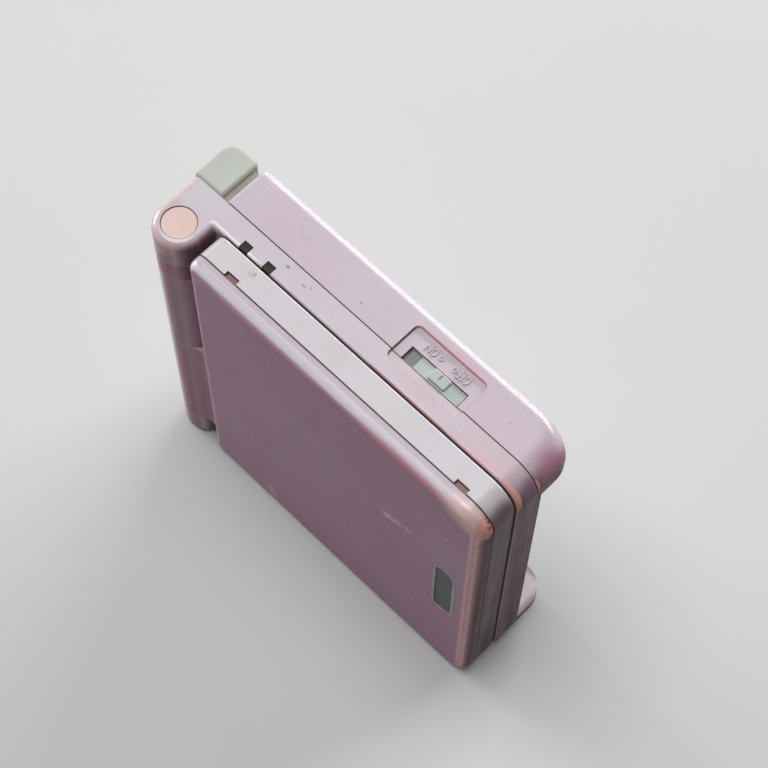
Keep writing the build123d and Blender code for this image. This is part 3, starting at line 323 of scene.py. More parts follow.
def inside_outline(made, back, front, corner):
    """Metres from a casing's side wall, measured inwards across its plan."""
    centre_x = (back + front) / 2 - HALF_LENGTH
    half_x = (front - back) / 2 - corner
    half_z = SIDE_TO_SIDE / 2 - corner
    reach = []
    for value, centre, half in ((made.x, centre_x, half_x),
                                (made.z, SIDE_TO_SIDE / 2, half_z)):
        offset = made.math("ABSOLUTE", made.math("SUBTRACT", value, centre * MM))
        reach.append(made.math("SUBTRACT", offset, half * MM))
    outer = [made.math("MAXIMUM", value, 0.0) for value in reach]
    corner_reach = made.math("SQRT", made.math("ADD", made.times(outer[0], outer[0]),
                                               made.times(outer[1], outer[1])))
    straight_reach = made.math("MINIMUM", made.math("MAXIMUM", reach[0], reach[1]), 0.0)
    total = made.math("ADD", corner_reach, straight_reach)
    return made.math("SUBTRACT", corner * MM, total)


def band(made, axis, middle, half, soft):
    """1 close to one place on an axis, in millimetres."""
    return made.times(made.beyond(axis, middle - half - soft, middle - half),
                      made.beyond(axis, middle + half + soft, middle + half))


def front_side(made):
    """1 on the walls that face the cartridge end, a little less in upright streaks; the dark tint
    laid on these walls is painted shade.
    """
    streaks = made.ramp(made.noise(260.0, 3.0, stretch=(1.0, 1.0, 0.06)), 0.30, 0.75)
    facing = made.ramp(made.facing_x, 0.45, 0.92)
    return made.times(facing, made.math("SUBTRACT", 1.0, made.times(streaks, 0.30)))


def pearl_paint(name, light, deep, wear_and_light_masks, seams, spots):
    """Paint with its wear and its painted light and shade; the masks and seams are functions of the
    finish.

    A coat would mirror the pale floor, so it is thin on the front and on the lid's face."""
    made = Finish(name)
    broad = made.noise(28.0, 2.0)
    middle = made.noise(160.0, 4.0, shift=0.3)
    grain = made.noise(3200.0, 2.0)
    colour = made.blend(made.ramp(broad, 0.35, 0.65), light, deep)
    colour = made.blend(made.times(made.ramp(middle, 0.45, 0.75), 0.25), colour,
                        srgb(208, 180, 190))
    colour = made.blend(made.times(made.ramp(grain, 0.35, 0.75), 0.14), colour,
                        srgb(236, 230, 234))
    for mask, tint, strength in wear_and_light_masks(made):
        colour = made.blend(made.times(mask, strength), colour, tint)
    for centre, radii, tint, strength in spots:
        ragged = made.times(made.spot(centre, radii, 0.6),
                            made.ramp(made.noise(700.0, 3.0, shift=centre[0]), 0.30, 0.55))
        colour = made.blend(made.times(ragged, strength), colour, tint)
    # Painted shade on the front walls, darker towards the table.
    low_front = made.times(front_side(made), made.beyond("z", 62.0, 4.0))
    colour = made.blend(made.times(low_front, 0.40), colour, LOW_FRONT_PAINTED_SHADE)
    dirt = made.times(made.specks(230.0, 0.05, 0.16), 0.55)
    colour = made.blend(dirt, colour, srgb(120, 96, 98))
    # Dirt in the seams, and painted shade on the walls of the gap between lid and base.
    for mask, strength in seams(made):
        colour = made.blend(made.times(mask, strength), colour, SEAM_DIRT_AND_SHADE)
    dulled = made.most(front_side(made), made.times(made.ramp(made.facing_y, -0.80, -0.98), 0.75))
    rough = made.math("ADD", 0.40, made.times(made.ramp(middle, 0.3, 0.8), 0.10))
    made.set(colour=colour, rough=made.math("ADD", rough, made.times(dulled, 0.25)), metal=0.10,
             gloss=0.35, coat=made.times(made.math("SUBTRACT", 1.0, dulled), 0.45),
             coat_rough=0.14)
    scratches = made.noise(900.0, 4.0, 0.7, stretch=(1.0, 1.0, 0.25))
    relief = made.math("ADD", made.times(grain, 0.7), made.times(scratches, 0.5))
    made.bump(relief, 0.55, 0.00004)
    FINISHES[name] = made.material


print("paint helper ready")

# %% [markdown]
# ## The lid's outer cover
# The cover's face is a deep mauve pink, which is painted shade, and its sides are painted paler,
# with a near-white painted highlight on the rounding between them. A thin pink line follows the
# rim and a wider one the front edge, which carries a painted highlight, and the front corner is
# chipped to salmon plastic with a ragged edge. A scuff, a few dots and scratches lie where the
# photograph shows them. The hinge barrel carries the same paint, so its tints are a function of
# their own.

# %% Paint of the lid
LID_FACE = 0.3
BARREL_END = 11.7
BARREL_SEAMS = (7.2, 41.2, 69.3, 74.8)
SCUFF = srgb(255, 208, 222)


def on_lid(x, z, reach_x, reach_z, tint, strength):
    """A mark on the lid's face, in the form that pearl_paint takes."""
    return (x, LID_FACE, z), (reach_x, 1, reach_z), tint, strength


LID_SPOTS = [
    on_lid(62.0, 50.5, 1.3, 1.3, SCUFF, 0.80),
    on_lid(63.4, 51.1, 1.5, 1.7, SCUFF, 0.90),
    on_lid(65.2, 51.7, 1.4, 1.5, SCUFF, 0.90),
    on_lid(67.4, 52.5, 0.9, 1.0, SCUFF, 0.85),
    on_lid(42.8, 52.5, 0.8, 1.2, srgb(196, 176, 186), 0.5),
    on_lid(26.2, 74.5, 0.3, 1.0, srgb(210, 196, 196), 0.8),
    on_lid(23.0, 58.3, 0.35, 1.4, srgb(206, 190, 198), 0.6),
    on_lid(24.9, 55.8, 0.5, 0.9, srgb(200, 184, 192), 0.5),
    on_lid(29.8, 5.0, 2.0, 2.6, SCUFF, 0.55),
    on_lid(51.3, 25.0, 0.9, 2.2, srgb(198, 176, 190), 0.4),
    on_lid(52.0, 13.5, 0.8, 1.8, srgb(198, 176, 190), 0.35),
    on_lid(68.7, 18.0, 0.8, 1.8, srgb(206, 180, 192), 0.5),
    on_lid(37.5, 65.0, 5.0, 3.5, srgb(206, 148, 172), 0.45),
    on_lid(43.8, 61.5, 3.0, 3.5, srgb(206, 122, 152), 0.55),
    on_lid(44.4, 68.0, 2.4, 2.6, srgb(206, 128, 158), 0.45),
    on_lid(66.9, 52.8, 0.4, 1.1, srgb(240, 200, 208), 0.95),
    on_lid(68.2, 53.4, 0.35, 0.9, srgb(240, 200, 208), 0.95),
    on_lid(76.6, 64.7, 0.3, 1.3, srgb(222, 200, 210), 0.85),
    on_lid(70.2, 63.0, 0.25, 1.0, srgb(214, 196, 206), 0.8),
    on_lid(69.4, 18.0, 0.45, 1.1, srgb(230, 196, 206), 0.85),
]


def barrel_tints(made):
    """The hinge barrel: a painted shade of mauve, a painted highlight on its outer side, reddened
    on the separate ring.
    """
    barrel = made.beyond("x", BARREL_END, BARREL_END - 0.6)
    outer_side_highlight = made.times(barrel, made.beyond("x", 5.9, 4.5), made.beyond("z", -40.0, 60.0))
    cover_half = made.times(barrel, made.beyond("z", 41.5, 38.0), made.beyond("x", 4.4, 6.0))
    ring = made.times(barrel, band(made, "z", 72.0, 2.9, 0.2), made.beyond("x", 3.2, 5.2))
    seams = made.times(barrel, made.most(*(band(made, "z", seam, 0.12, 0.12)
                                           for seam in BARREL_SEAMS)))
    # The barrel's mauve is painted shade, and its pale outer side a painted highlight.
    return [(barrel, srgb(190, 146, 164), 1.0), (outer_side_highlight, srgb(240, 222, 220), 0.9),
            (cover_half, srgb(188, 130, 148), 0.5), (ring, srgb(186, 124, 138), 0.75),
            (seams, srgb(240, 206, 212), 0.8)]


def lid_cover_wear_and_light(made):
    ragged = made.noise(420.0, 5.0, 0.65)
    patches = made.noise(60.0, 3.0, shift=1.7)
    inward = inside_outline(made, LID_BACK, LID_FRONT, LID_CORNER)
    wobble = made.math("ADD", inward, made.times(made.math("SUBTRACT", ragged, 0.5), 0.0006))
    round_side = made.ramp(made.facing_y, -0.95, -0.72)
    face_line = made.times(made.ramp(wobble, 0.0024, 0.0018), made.ramp(wobble, 0.0009, 0.0015),
                           made.ramp(patches, 0.30, 0.60))
    pink_stretch = made.times(made.spot((67.0, 0.4, 80.5), (19.0, 1.3, 2.3), 0.7),
                              made.ramp(patches, 0.15, 0.50))
    front_round = made.times(made.beyond("x", 81.4, 82.2), made.ramp(made.facing_x, 0.97, 0.80),
                             made.ramp(made.noise(500.0, 4.0, shift=6.0), 0.25, 0.45))
    # A painted highlight along the rounding of the front edge.
    front_line_highlight = made.times(front_round, made.ramp(made.facing_x, 0.66, 0.52))
    beige_corner = made.spot((81.0, 1.0, 80.2), (9.0, 3.0, 5.4), 0.7)
    crumbs = made.times(made.spot((83.6, 3.1, 79.4), (2.6, 0.9, 3.4), 0.4),
                        made.ramp(made.noise(1300.0, 3.0, shift=3.3), 0.50, 0.58))
    return [
        # The sides painted paler than the face, and a near-white painted highlight on the rounding
        # between them.
        (round_side, srgb(198, 187, 197), 0.95),
        (made.times(round_side, made.ramp(made.facing_y, -0.20, -0.45)), srgb(244, 236, 243), 0.9),
        *barrel_tints(made),
        (face_line, srgb(222, 172, 188), 0.75),
        (pink_stretch, srgb(224, 150, 176), 0.8),
        # painted shade on the front walls
        (front_side(made), FRONT_PAINTED_SHADE, 0.95),
        (front_round, srgb(194, 134, 138), 0.88),
        # painted highlight on the front edge
        (front_line_highlight, srgb(255, 200, 204), 0.92),
        (beige_corner, srgb(246, 208, 204), 0.95),
        (made.chip((84.0, 2.0, 79.4), (3.2, 2.9, 4.2)), BARE_SALMON, 0.9),
        (crumbs, srgb(142, 78, 72), 0.85),
    ]


def lid_seams(made):
    inward = inside_outline(made, LID_BACK, LID_FRONT, LID_CORNER)
    # Painted shade on the frame's walls at the gap to the base.
    gap_wall_shade = made.times(made.beyond("y", 8.60, 8.72), made.ramp(inward, 0.0013, 0.0008),
                          made.beyond("x", 12.8, 13.6))
    split = made.times(band(made, "y", LID_SEAM, 0.10, 0.16), made.beyond("x", 12.0, 12.5))
    return [(split, 0.8), (gap_wall_shade, 0.8)]


# The face's deep mauve base colour is painted shade.
pearl_paint("pearl_lid_cover", srgb(192, 148, 175), srgb(185, 138, 165),
            lid_cover_wear_and_light, lid_seams, LID_SPOTS)
print("lid spots", len(LID_SPOTS))

# %% [markdown]
# ## The other casings
# The lid's inner frame is the palest piece, because it was shielded from rubbing. The upper case
# is a cool pearl pink that warms towards the front. Its hinge ear carries a painted shade of mauve
# on its side wall, with painted highlights in pale pink and warm beige on its outer side, rim and
# upper part. The lower case is the pinkest, with a white painted highlight along its far edge, a
# mauve bruise at its front corner, and a foot on the table painted pale on top as a highlight and
# darker round its rim as shade. The corners of the frame and the upper case carry painted shade
# where they turn to the front, and the upper case's edge beside the lid's gap a painted highlight.
# A brownish pink lines the switch panel's leaning walls.

# %% Paint of the frame and the base
BRUISE = srgb(206, 140, 168)
PANEL_EDGE = srgb(202, 148, 147)
BROWN_SPECK = srgb(122, 92, 90)


def on_right(x, y, reach_x, reach_y, tint, strength):
    """A mark on the right side, in the form that pearl_paint takes."""
    return (x, y, SIDE_TO_SIDE), (reach_x, reach_y, 1), tint, strength


FRAME_SPOTS = [
    on_right(22.5, 6.8, 1.0, 0.9, srgb(182, 158, 136), 0.55),
    on_right(22.9, 7.3, 0.4, 0.5, srgb(150, 126, 108), 0.6),
]
UPPER_SPOTS = [
    on_right(25.9, 12.4, 0.55, 0.35, BROWN_SPECK, 0.75),
    on_right(30.5, 11.7, 0.70, 0.20, BROWN_SPECK, 0.7),
    on_right(31.8, 12.3, 0.25, 0.25, BROWN_SPECK, 0.7),
]
LOWER_SPOTS = [
    on_right(23.6, 18.4, 1.3, 0.20, BROWN_SPECK, 0.35),
    on_right(23.0, 19.1, 0.9, 0.16, BROWN_SPECK, 0.35),
    on_right(24.7, 18.9, 0.18, 0.80, BROWN_SPECK, 0.3),
    on_right(40.0, 16.4, 0.40, 0.30, BROWN_SPECK, 0.5),
    on_right(74.0, 18.0, 0.45, 0.35, BROWN_SPECK, 0.6),
]


def panel_wall(made):
    """1 on the switch panel's leaning walls, between its floor and the right side."""
    return made.times(made.beyond("z", SIDE_TO_SIDE - 0.01, SIDE_TO_SIDE - 0.07),
                      made.beyond("z", PANEL_FLOOR, PANEL_FLOOR + 0.08),
                      made.beyond("x", 49.0, 49.3), made.beyond("x", 67.6, 67.2),
                      made.beyond("y", 20.9, 20.8))


def frame_wear_and_light(made):
    near_seam = made.times(band(made, "y", 3.6, 0.6, 1.2), made.ramp(made.noise(90.0, 3.0),
                                                                     0.45, 0.65))
    notch_length = made.most(band(made, "x", 20.5, 1.5, 0.1), band(made, "x", 75.95, 1.5, 0.1))
    notch = made.times(notch_length, made.beyond("z", 81.96, 81.80),
                       band(made, "y", 3.95, 0.8, 0.1))
    return [
        (near_seam, srgb(214, 190, 196), 0.4),
        # Painted shade of mauve where the frame's corner turns to the front.
        (made.spot((83.8, 6.4, 79.8), (2.6, 3.2, 3.4), 0.9), srgb(140, 108, 132), 0.65),
        # painted shade on the front walls
        (front_side(made), FRONT_PAINTED_SHADE, 0.92),
        (notch, srgb(150, 108, 96), 0.85),
        *barrel_tints(made),
    ]


def upper_case_wear_and_light(made):
    inward = inside_outline(made, BASE_BACK, BASE_FRONT, BASE_CORNER)
    gap_edge = made.times(band(made, "y", 9.6, 0.5, 0.9), made.ramp(inward, 0.0012, 0.0004),
                          made.beyond("x", 62.0, 76.0))
    ear_wall = made.times(made.beyond("y", 9.0, 8.2), made.ramp(made.facing_z, 0.55, 0.15))
    ear_rim_highlight = made.times(made.beyond("y", 8.8, 7.2), made.beyond("x", 12.0, 9.0),
                         made.beyond("z", 78.0, 80.0), made.ramp(made.facing_z, 0.985, 0.88))
    # A painted highlight along the upper case's edge beside the gap to the lid.
    painted_edge_highlight = made.times(band(made, "y", 9.3, 0.25, 0.25), made.beyond("z", 80.6, 81.2),
                            made.beyond("x", 9.5, 10.5), made.beyond("x", 23.0, 20.0))
    ear_round_highlight = made.times(made.beyond("x", 4.4, 2.2), made.beyond("y", 9.5, 7.5),
                           made.beyond("z", 74.0, 77.0))
    back_round = made.times(made.beyond("x", 3.0, 1.6), made.beyond("y", 7.5, 9.5),
                            made.beyond("z", 77.0, 80.0))
    return [
        (made.beyond("x", 64.0, 82.0), srgb(208, 180, 190), 0.8),
        (gap_edge, srgb(224, 176, 190), 0.6),
        # painted highlight on the edge beside the gap
        (painted_edge_highlight, srgb(250, 246, 250), 0.9),
        # Painted shade of mauve on the ear's side wall, then painted highlights on its outer strip
        # and upper part.
        (made.times(ear_wall, made.beyond("x", 9.5, 8.0)), srgb(190, 148, 164), 0.9),
        (made.times(ear_wall, made.beyond("x", 5.9, 4.5)), srgb(222, 194, 198), 0.75),
        (made.times(ear_wall, made.beyond("z", 76.4, 78.6), made.beyond("x", 9.0, 6.5)),
         srgb(236, 204, 204), 0.85),
        (made.times(ear_wall, made.beyond("x", 8.0, 9.5)), srgb(220, 186, 204), 0.9),
        # Painted highlights on the ear's rim and outer rounding.
        (ear_rim_highlight, srgb(226, 192, 195), 0.85),
        (ear_round_highlight, srgb(206, 184, 180), 0.85),
        (back_round, srgb(208, 180, 192), 0.8),
        (made.spot((58.0, 11.6, SIDE_TO_SIDE), (9.0, 2.4, 3.0), 0.9), srgb(216, 182, 194), 0.5),
        (panel_wall(made), PANEL_EDGE, 0.85),
        # painted shade on the front walls
        (front_side(made), FRONT_PAINTED_SHADE, 0.95),
        # Painted shade of mauve where the upper case's corner turns to the front.
        (made.spot((84.0, 12.6, 79.6), (2.8, 2.4, 3.6), 0.8), srgb(150, 112, 138), 0.7),
        (made.chip((83.4, 9.0, 79.8), (5.2, 1.9, 5.0)), BARE_SALMON, 0.8),
    ]


def lower_case_wear_and_light(made):
    bruise = made.times(made.spot((83.2, 18.2, 79.4), (5.4, 5.0, 5.0), 0.9),
                        made.ramp(made.noise(150.0, 4.0, shift=5.0), 0.20, 0.55))
    # The foot on the table: its top painted pale as a highlight, its rim painted darker as shade.
    foot = made.times(made.beyond("x", 76.0, 77.0), made.beyond("z", 12.0, 10.0),
                      made.ramp(made.facing_z, 0.60, 0.90))
    foot_rim_shade = made.times(foot, made.most(made.beyond("x", 82.8, 84.5),
                                          made.beyond("y", 22.6, 24.2)))
    # A painted white highlight along the far edge's rounding, broken up by grain.
    far_edge_highlight = made.times(made.ramp(made.facing_y, 0.20, 0.50),
                            made.ramp(made.facing_y, 0.95, 0.75),
                            made.beyond("z", 77.0, 79.0), made.beyond("x", 80.0, 77.0),
                            made.ramp(made.noise(1500.0, 3.0), 0.20, 0.60))
    lines = made.times(made.spot((84.4, 17.0, 78.0), (1.8, 3.4, 3.0), 0.5),
                       made.ramp(made.noise(700.0, 2.0, stretch=(1.0, 0.16, 0.5)), 0.50, 0.60))
    return [
        (made.spot((58.2, 20.9, SIDE_TO_SIDE), (9.0, 0.9, 1.2), 0.8), srgb(224, 172, 184), 0.5),
        (panel_wall(made), PANEL_EDGE, 0.85),
        # painted shade on the front walls
        (front_side(made), FRONT_PAINTED_SHADE, 0.95),
        # A painted highlight where the far edge reaches the front corner.
        (made.spot((82.4, 21.6, 81.0), (2.6, 2.0, 2.4), 0.9), srgb(232, 206, 216), 0.7),
        # painted highlight on the far edge
        (far_edge_highlight, srgb(246, 240, 246), 0.65),
        (bruise, BRUISE, 0.85),
        # painted highlight on the foot's top, then painted shade on its rim
        (foot, srgb(230, 220, 228), 0.8),
        (foot_rim_shade, srgb(150, 120, 138), 0.8),
        (lines, srgb(136, 84, 100), 0.6),
        (made.chip((84.3, 14.3, 78.6), (1.6, 0.45, 2.6)), BARE_SALMON, 0.8),
    ]


def base_seams(made):
    inward = inside_outline(made, BASE_BACK, BASE_FRONT, BASE_CORNER)
    # Painted shade on the upper case's walls at the gap to the lid.
    gap_wall_shade = made.times(band(made, "y", 9.00, 0.08, 0.10), made.ramp(inward, 0.0016, 0.0010),
                          made.beyond("x", 13.0, 14.0))
    return [(band(made, "y", CASE_SEAM, 0.08, 0.12), 0.7), (gap_wall_shade, 0.6)]


pearl_paint("pearl_lid_frame", srgb(216, 212, 216), srgb(210, 205, 210),
            frame_wear_and_light, lid_seams, FRAME_SPOTS)
pearl_paint("pearl_upper_case", srgb(212, 204, 211), srgb(208, 196, 205),
            upper_case_wear_and_light, base_seams, UPPER_SPOTS)
pearl_paint("pearl_lower_case", srgb(209, 196, 205), srgb(205, 188, 199),
            lower_case_wear_and_light, base_seams, LOWER_SPOTS)
print("casing paints", len(FINISHES))

# %% [markdown]
# ## Plastics, rubber and metal
# The buttons, the shoulder keys and the switch are a cool grey-green plastic, unpainted and a
# little translucent, with brown dirt where fingers don't reach and painted shade on the shoulder
# keys' flange and on the switch's part behind the wall. The round hinge cap has faded to beige.
# Rubber, screws and contacts are only seen when the lid is open or from behind.

# %% Plain finishes
def speckled(name, light, deep, rough, dirt=0.25, **more):
    made = Finish(name)
    patches = made.noise(110.0, 4.0)
    grain = made.noise(2600.0, 2.0)
    colour = made.blend(made.ramp(patches, 0.35, 0.70), light, deep)
    dots = made.times(made.specks(420.0, 0.07, 0.20), dirt)
    colour = made.blend(dots, colour, tuple(0.45 * value for value in deep[:3]) + (1.0,))
    made.set(colour=colour, rough=rough, **more)
    made.bump(grain, 0.5, 0.00003)
    FINISHES[name] = made.material
    return made


def key_plastic():
    """The keys' plastic, browned along the shoulder keys' inner edge and shaded on their flange."""
    made = speckled("grey_green_keys", srgb(199, 203, 195), srgb(191, 196, 187), 0.40,
                    soft_light=0.15, soft_depth=0.002)
    inner_edge = made.times(made.beyond("x", 6.3, 7.2), made.beyond("x", 8.0, 7.3))
    flange = made.times(made.beyond("x", 7.15, 7.45), made.beyond("y", 13.0, 14.0))
    made.tint(inner_edge, 0.45, srgb(184, 160, 138))
    made.tint(flange, 0.8, srgb(150, 152, 142))


def slide_plastic():
    """The switch's plastic, a little bluer, with a painted shade on the part of it behind the wall.
    """
    made = speckled("slide_switch", srgb(190, 198, 196), srgb(182, 191, 189), 0.42)
    behind = made.times(made.beyond("z", 81.12, 81.00), made.beyond("z", 40.0, 41.0))
    # Painted shade on the part of the switch behind the wall.
    made.tint(behind, 0.85, srgb(146, 150, 140))


def metal(name, light, deep, rough):
    made = Finish(name)
    brushed = made.noise(900.0, 3.0, stretch=(1.0, 1.0, 0.1))
    made.set(colour=made.blend(brushed, light, deep), metal=1.0,
             rough=made.math("ADD", rough, made.times(brushed, 0.15)))
    made.bump(brushed, 0.3, 0.00002)
    FINISHES[name] = made.material


PICTURE_MIDDLE = (43.6, 41.0)
PICTURE_HALF = (20.4, 30.6)


def screen_window():
    """Window of the screen: dark glass over the picture, printed black round it."""
    made = Finish("screen_window")
    outside = []
    for value, middle, half in ((made.x, PICTURE_MIDDLE[0] - HALF_LENGTH, PICTURE_HALF[0]),
                                (made.z, PICTURE_MIDDLE[1], PICTURE_HALF[1])):
        offset = made.math("ABSOLUTE", made.math("SUBTRACT", value, middle * MM))
        outside.append(made.math("SUBTRACT", offset, half * MM))
    printed = made.ramp(made.most(*outside), -0.00005, 0.00005)
    smudge = made.noise(60.0, 4.0)
    made.set(colour=made.blend(printed, srgb(66, 74, 72), srgb(18, 19, 21)),
             rough=made.math("ADD", 0.06, made.times(smudge, 0.10)), coat=0.6)
    FINISHES["screen_window"] = made.material


key_plastic()
slide_plastic()
speckled("faded_cap", srgb(232, 206, 199), srgb(227, 198, 190), 0.45, dirt=0.5)
speckled("smoked_window", srgb(58, 54, 49), srgb(46, 42, 38), 0.50, dirt=0.3, gloss=0.3)
speckled("badge_rim", srgb(164, 155, 163), srgb(148, 138, 147), 0.32, metal=0.35)
speckled("badge_plate", srgb(64, 74, 73), srgb(55, 64, 63), 0.38, dirt=0.15, gloss=0.3)
speckled("black_plastic", srgb(46, 46, 48), srgb(38, 38, 40), 0.45)
speckled("grey_rubber", srgb(128, 128, 128), srgb(112, 112, 112), 0.75)
speckled("battery_wrap", srgb(96, 98, 104), srgb(84, 86, 92), 0.5)
speckled("solder_mask", srgb(26, 104, 74), srgb(20, 88, 62), 0.35)
speckled("cable_film", srgb(196, 132, 64), srgb(178, 114, 50), 0.35)
speckled("display_glass", srgb(58, 66, 64), srgb(52, 60, 58), 0.12, dirt=0.05)
metal("plated_steel", srgb(196, 197, 200), srgb(168, 169, 172), 0.25)
metal("gold_contact", srgb(232, 198, 120), srgb(208, 170, 92), 0.22)
screen_window()
print("finishes", len(FINISHES))

# %% [markdown]
# ## Giving every part its finish
# The parts from the engineering model keep their shape and place. Only their material changes, so
# a table of part names and finishes is all that is needed.

# %% Assign finishes
PART_FINISH = {
    "pearl_lid_cover": ["lid_outer_cover", "hinge_collar"],
    "pearl_lid_frame": ["lid_bezel"],
    "pearl_upper_case": ["base_top_shell"],
    "pearl_lower_case": ["base_bottom_shell", "battery_door"],
    "grey_green_keys": ["shoulder_button_right", "shoulder_button_left", "button_a", "button_b",
                        "start_button", "select_button", "light_button", "direction_pad"],
    "slide_switch": ["power_slider", "volume_slider"],
    "faded_cap": ["hinge_end_caps"],
    "smoked_window": ["lamp_pipes"],
    "badge_rim": ["badge_frame"],
    "badge_plate": ["badge_plate"],
    "screen_window": ["screen_lens"],
    "display_glass": ["display_panel"],
    "cable_film": ["display_flat_cable"],
    "plated_steel": ["lid_screws", "case_screws", "battery_door_screw", "hinge_click_unit",
                     "hinge_bush", "shoulder_pins"],
    "grey_rubber": ["lid_screw_pads", "control_membranes", "direction_pad_pivot"],
    "battery_wrap": ["battery_pack"],
    "solder_mask": ["main_board"],
    "gold_contact": ["cartridge_contacts"],
    "black_plastic": ["cartridge_connector", "link_port", "power_port", "speaker",
                      "shoulder_switches", "power_switch", "volume_switch"],
}

for finish_name, part_names in PART_FINISH.items():
    for part_name in part_names:
        slots = NODES[part_name].data.materials
        slots.clear()
        slots.append(FINISHES[finish_name])
unpainted = set(NODES) - {name for names in PART_FINISH.values() for name in names}
print("parts painted", sum(len(names) for names in PART_FINISH.values()), "left", unpainted)

# %% [markdown]
# ## A kit for pieces that repeat
# Rings, wires and contacts repeat, so each is grown by a Geometry Nodes tree from a few named
# sizes, instead of being placed one by one. A tree here ends with real faces and its finish. The
# grown shape is then turned into a plain mesh, because a live modifier would not survive the
# export, and moved to its place on the console.

# %% Growing kit
class Grower(Wiring):
    """A Geometry Nodes tree with named sizes, from which plain pieces are grown."""

    def __init__(self, name, sizes):
        super().__init__(bpy.data.node_groups.new(name, "GeometryNodeTree"))
        kinds = {int: "NodeSocketInt", float: "NodeSocketFloat"}
        interface = self.tree.interface
        for label, value in sizes.items():
            socket = interface.new_socket(label, in_out="INPUT", socket_type=kinds[type(value)])
            socket.default_value = value
        interface.new_socket("Finish", in_out="INPUT", socket_type="NodeSocketMaterial")
        interface.new_socket("Geometry", in_out="OUTPUT", socket_type="NodeSocketGeometry")
        self.sizes = self.add("NodeGroupInput").outputs

    def vector(self, x=0.0, y=0.0, z=0.0):
        return self.add("ShaderNodeCombineXYZ", {0: x, 1: y, 2: z}).outputs[0]

    def end(self, geometry):
        real = self.add("GeometryNodeRealizeInstances", {"Geometry": geometry}).outputs[0]
        painted = self.add("GeometryNodeSetMaterial", {"Geometry": real,
                                                       "Material": self.sizes["Finish"]})
        self.add("NodeGroupOutput", {"Geometry": painted.outputs[0]})

    def grow(self, name, body, slot, finish, corner, sizes):
        """A plain piece on a body, with the tree's origin at a point given in millimetres."""
        maker = new_object("maker", bpy.data.meshes.new("maker"))
        modifier = maker.modifiers.new("grower", "NODES")
        modifier.node_group = self.tree
        values = dict(sizes, Finish=FINISHES[finish])
        for item in self.tree.interface.items_tree:
            if item.in_out == "INPUT":
                modifier[item.identifier] = values[item.name]
        piece = baked(maker, name)
        piece.data.transform(Matrix.Translation(place(*corner)))
        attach(piece, body)
        print(name, len(piece.data.polygons), "faces")


def baked(maker, name):
    """A plain mesh object from a text, curve or grown object, which is then removed."""
    bpy.context.view_layer.update()
    graph = bpy.context.evaluated_depsgraph_get()
    mesh = bpy.data.meshes.new_from_object(maker.evaluated_get(graph))
    bpy.data.objects.remove(maker)
    return new_object(name, mesh)


print("growing kit ready")

# %% [markdown]
# ## Rubbed beads in the barrel's seams
# Where two lengths of the hinge barrel meet, polish has gathered in the seam and shows as a thin
# pale line. Each is a fine round bead laid in the seam, level with the barrel. A line of points
# carries one ring per seam: two seams touch the base's ears, and two lie within the lid.

# %% Seam beads
BARREL_CENTRE = (5.95, 5.05)
BEAD_RADIUS = 0.12


def seam_bead_tree():
    grower = Grower("seam_beads", {"Count": 2, "Spacing": 0.03, "Ring Radius": 0.005,
                                   "Bead Radius": 0.0001})
    sizes = grower.sizes
    seams = grower.add("GeometryNodeMeshLine", {"Count": sizes["Count"],
                                                "Offset": grower.vector(z=sizes["Spacing"])})
    path = grower.add("GeometryNodeCurvePrimitiveCircle", {"Resolution": 72,
                                                           "Radius": sizes["Ring Radius"]})
    section = grower.add("GeometryNodeCurvePrimitiveCircle", {"Resolution": 8,
                                                              "Radius": sizes["Bead Radius"]})
    ring = grower.add("GeometryNodeCurveToMesh", {"Curve": path.outputs["Curve"],
                                                  "Profile Curve": section.outputs["Curve"]})
    rings = grower.add("GeometryNodeInstanceOnPoints", {"Points": seams.outputs["Mesh"],
                                                        "Instance": ring.outputs["Mesh"]})
    grower.end(rings.outputs["Instances"])
    return grower


speckled("rubbed_seam", srgb(236, 204, 208), srgb(224, 186, 192), 0.35, dirt=0.2)
seam_beads = seam_bead_tree()
ear_low, lid_low, lid_high, ear_high = BARREL_SEAMS
for body, first, last in (("base", ear_low, ear_high), ("lid", lid_low, lid_high)):
    seam_beads.grow("seam_beads_" + body, body, "pearl_pink_" + body, "rubbed_seam",
                    (*BARREL_CENTRE, first),
                    {"Count": 2, "Spacing": (last - first) * MM, "Bead Radius": BEAD_RADIUS * MM,
                     "Ring Radius": (BARREL_CENTRE[1] - BEAD_RADIUS) * MM})

# %% [markdown]
# ## The speaker's wire net
# Behind the slots in the upper case lies a fine net that keeps crumbs off the speaker. It is two
# layers of straight wires, each trimmed to the round frame: a wire at a distance d from the middle
# is as long as the chord there, twice the root of r squared less d squared.

# %% Speaker net
NET_MIDDLE = (57.5, 11.13, 41.0)
NET_WIRES, NET_RADIUS, NET_WIRE = 22, 7.6, 0.12


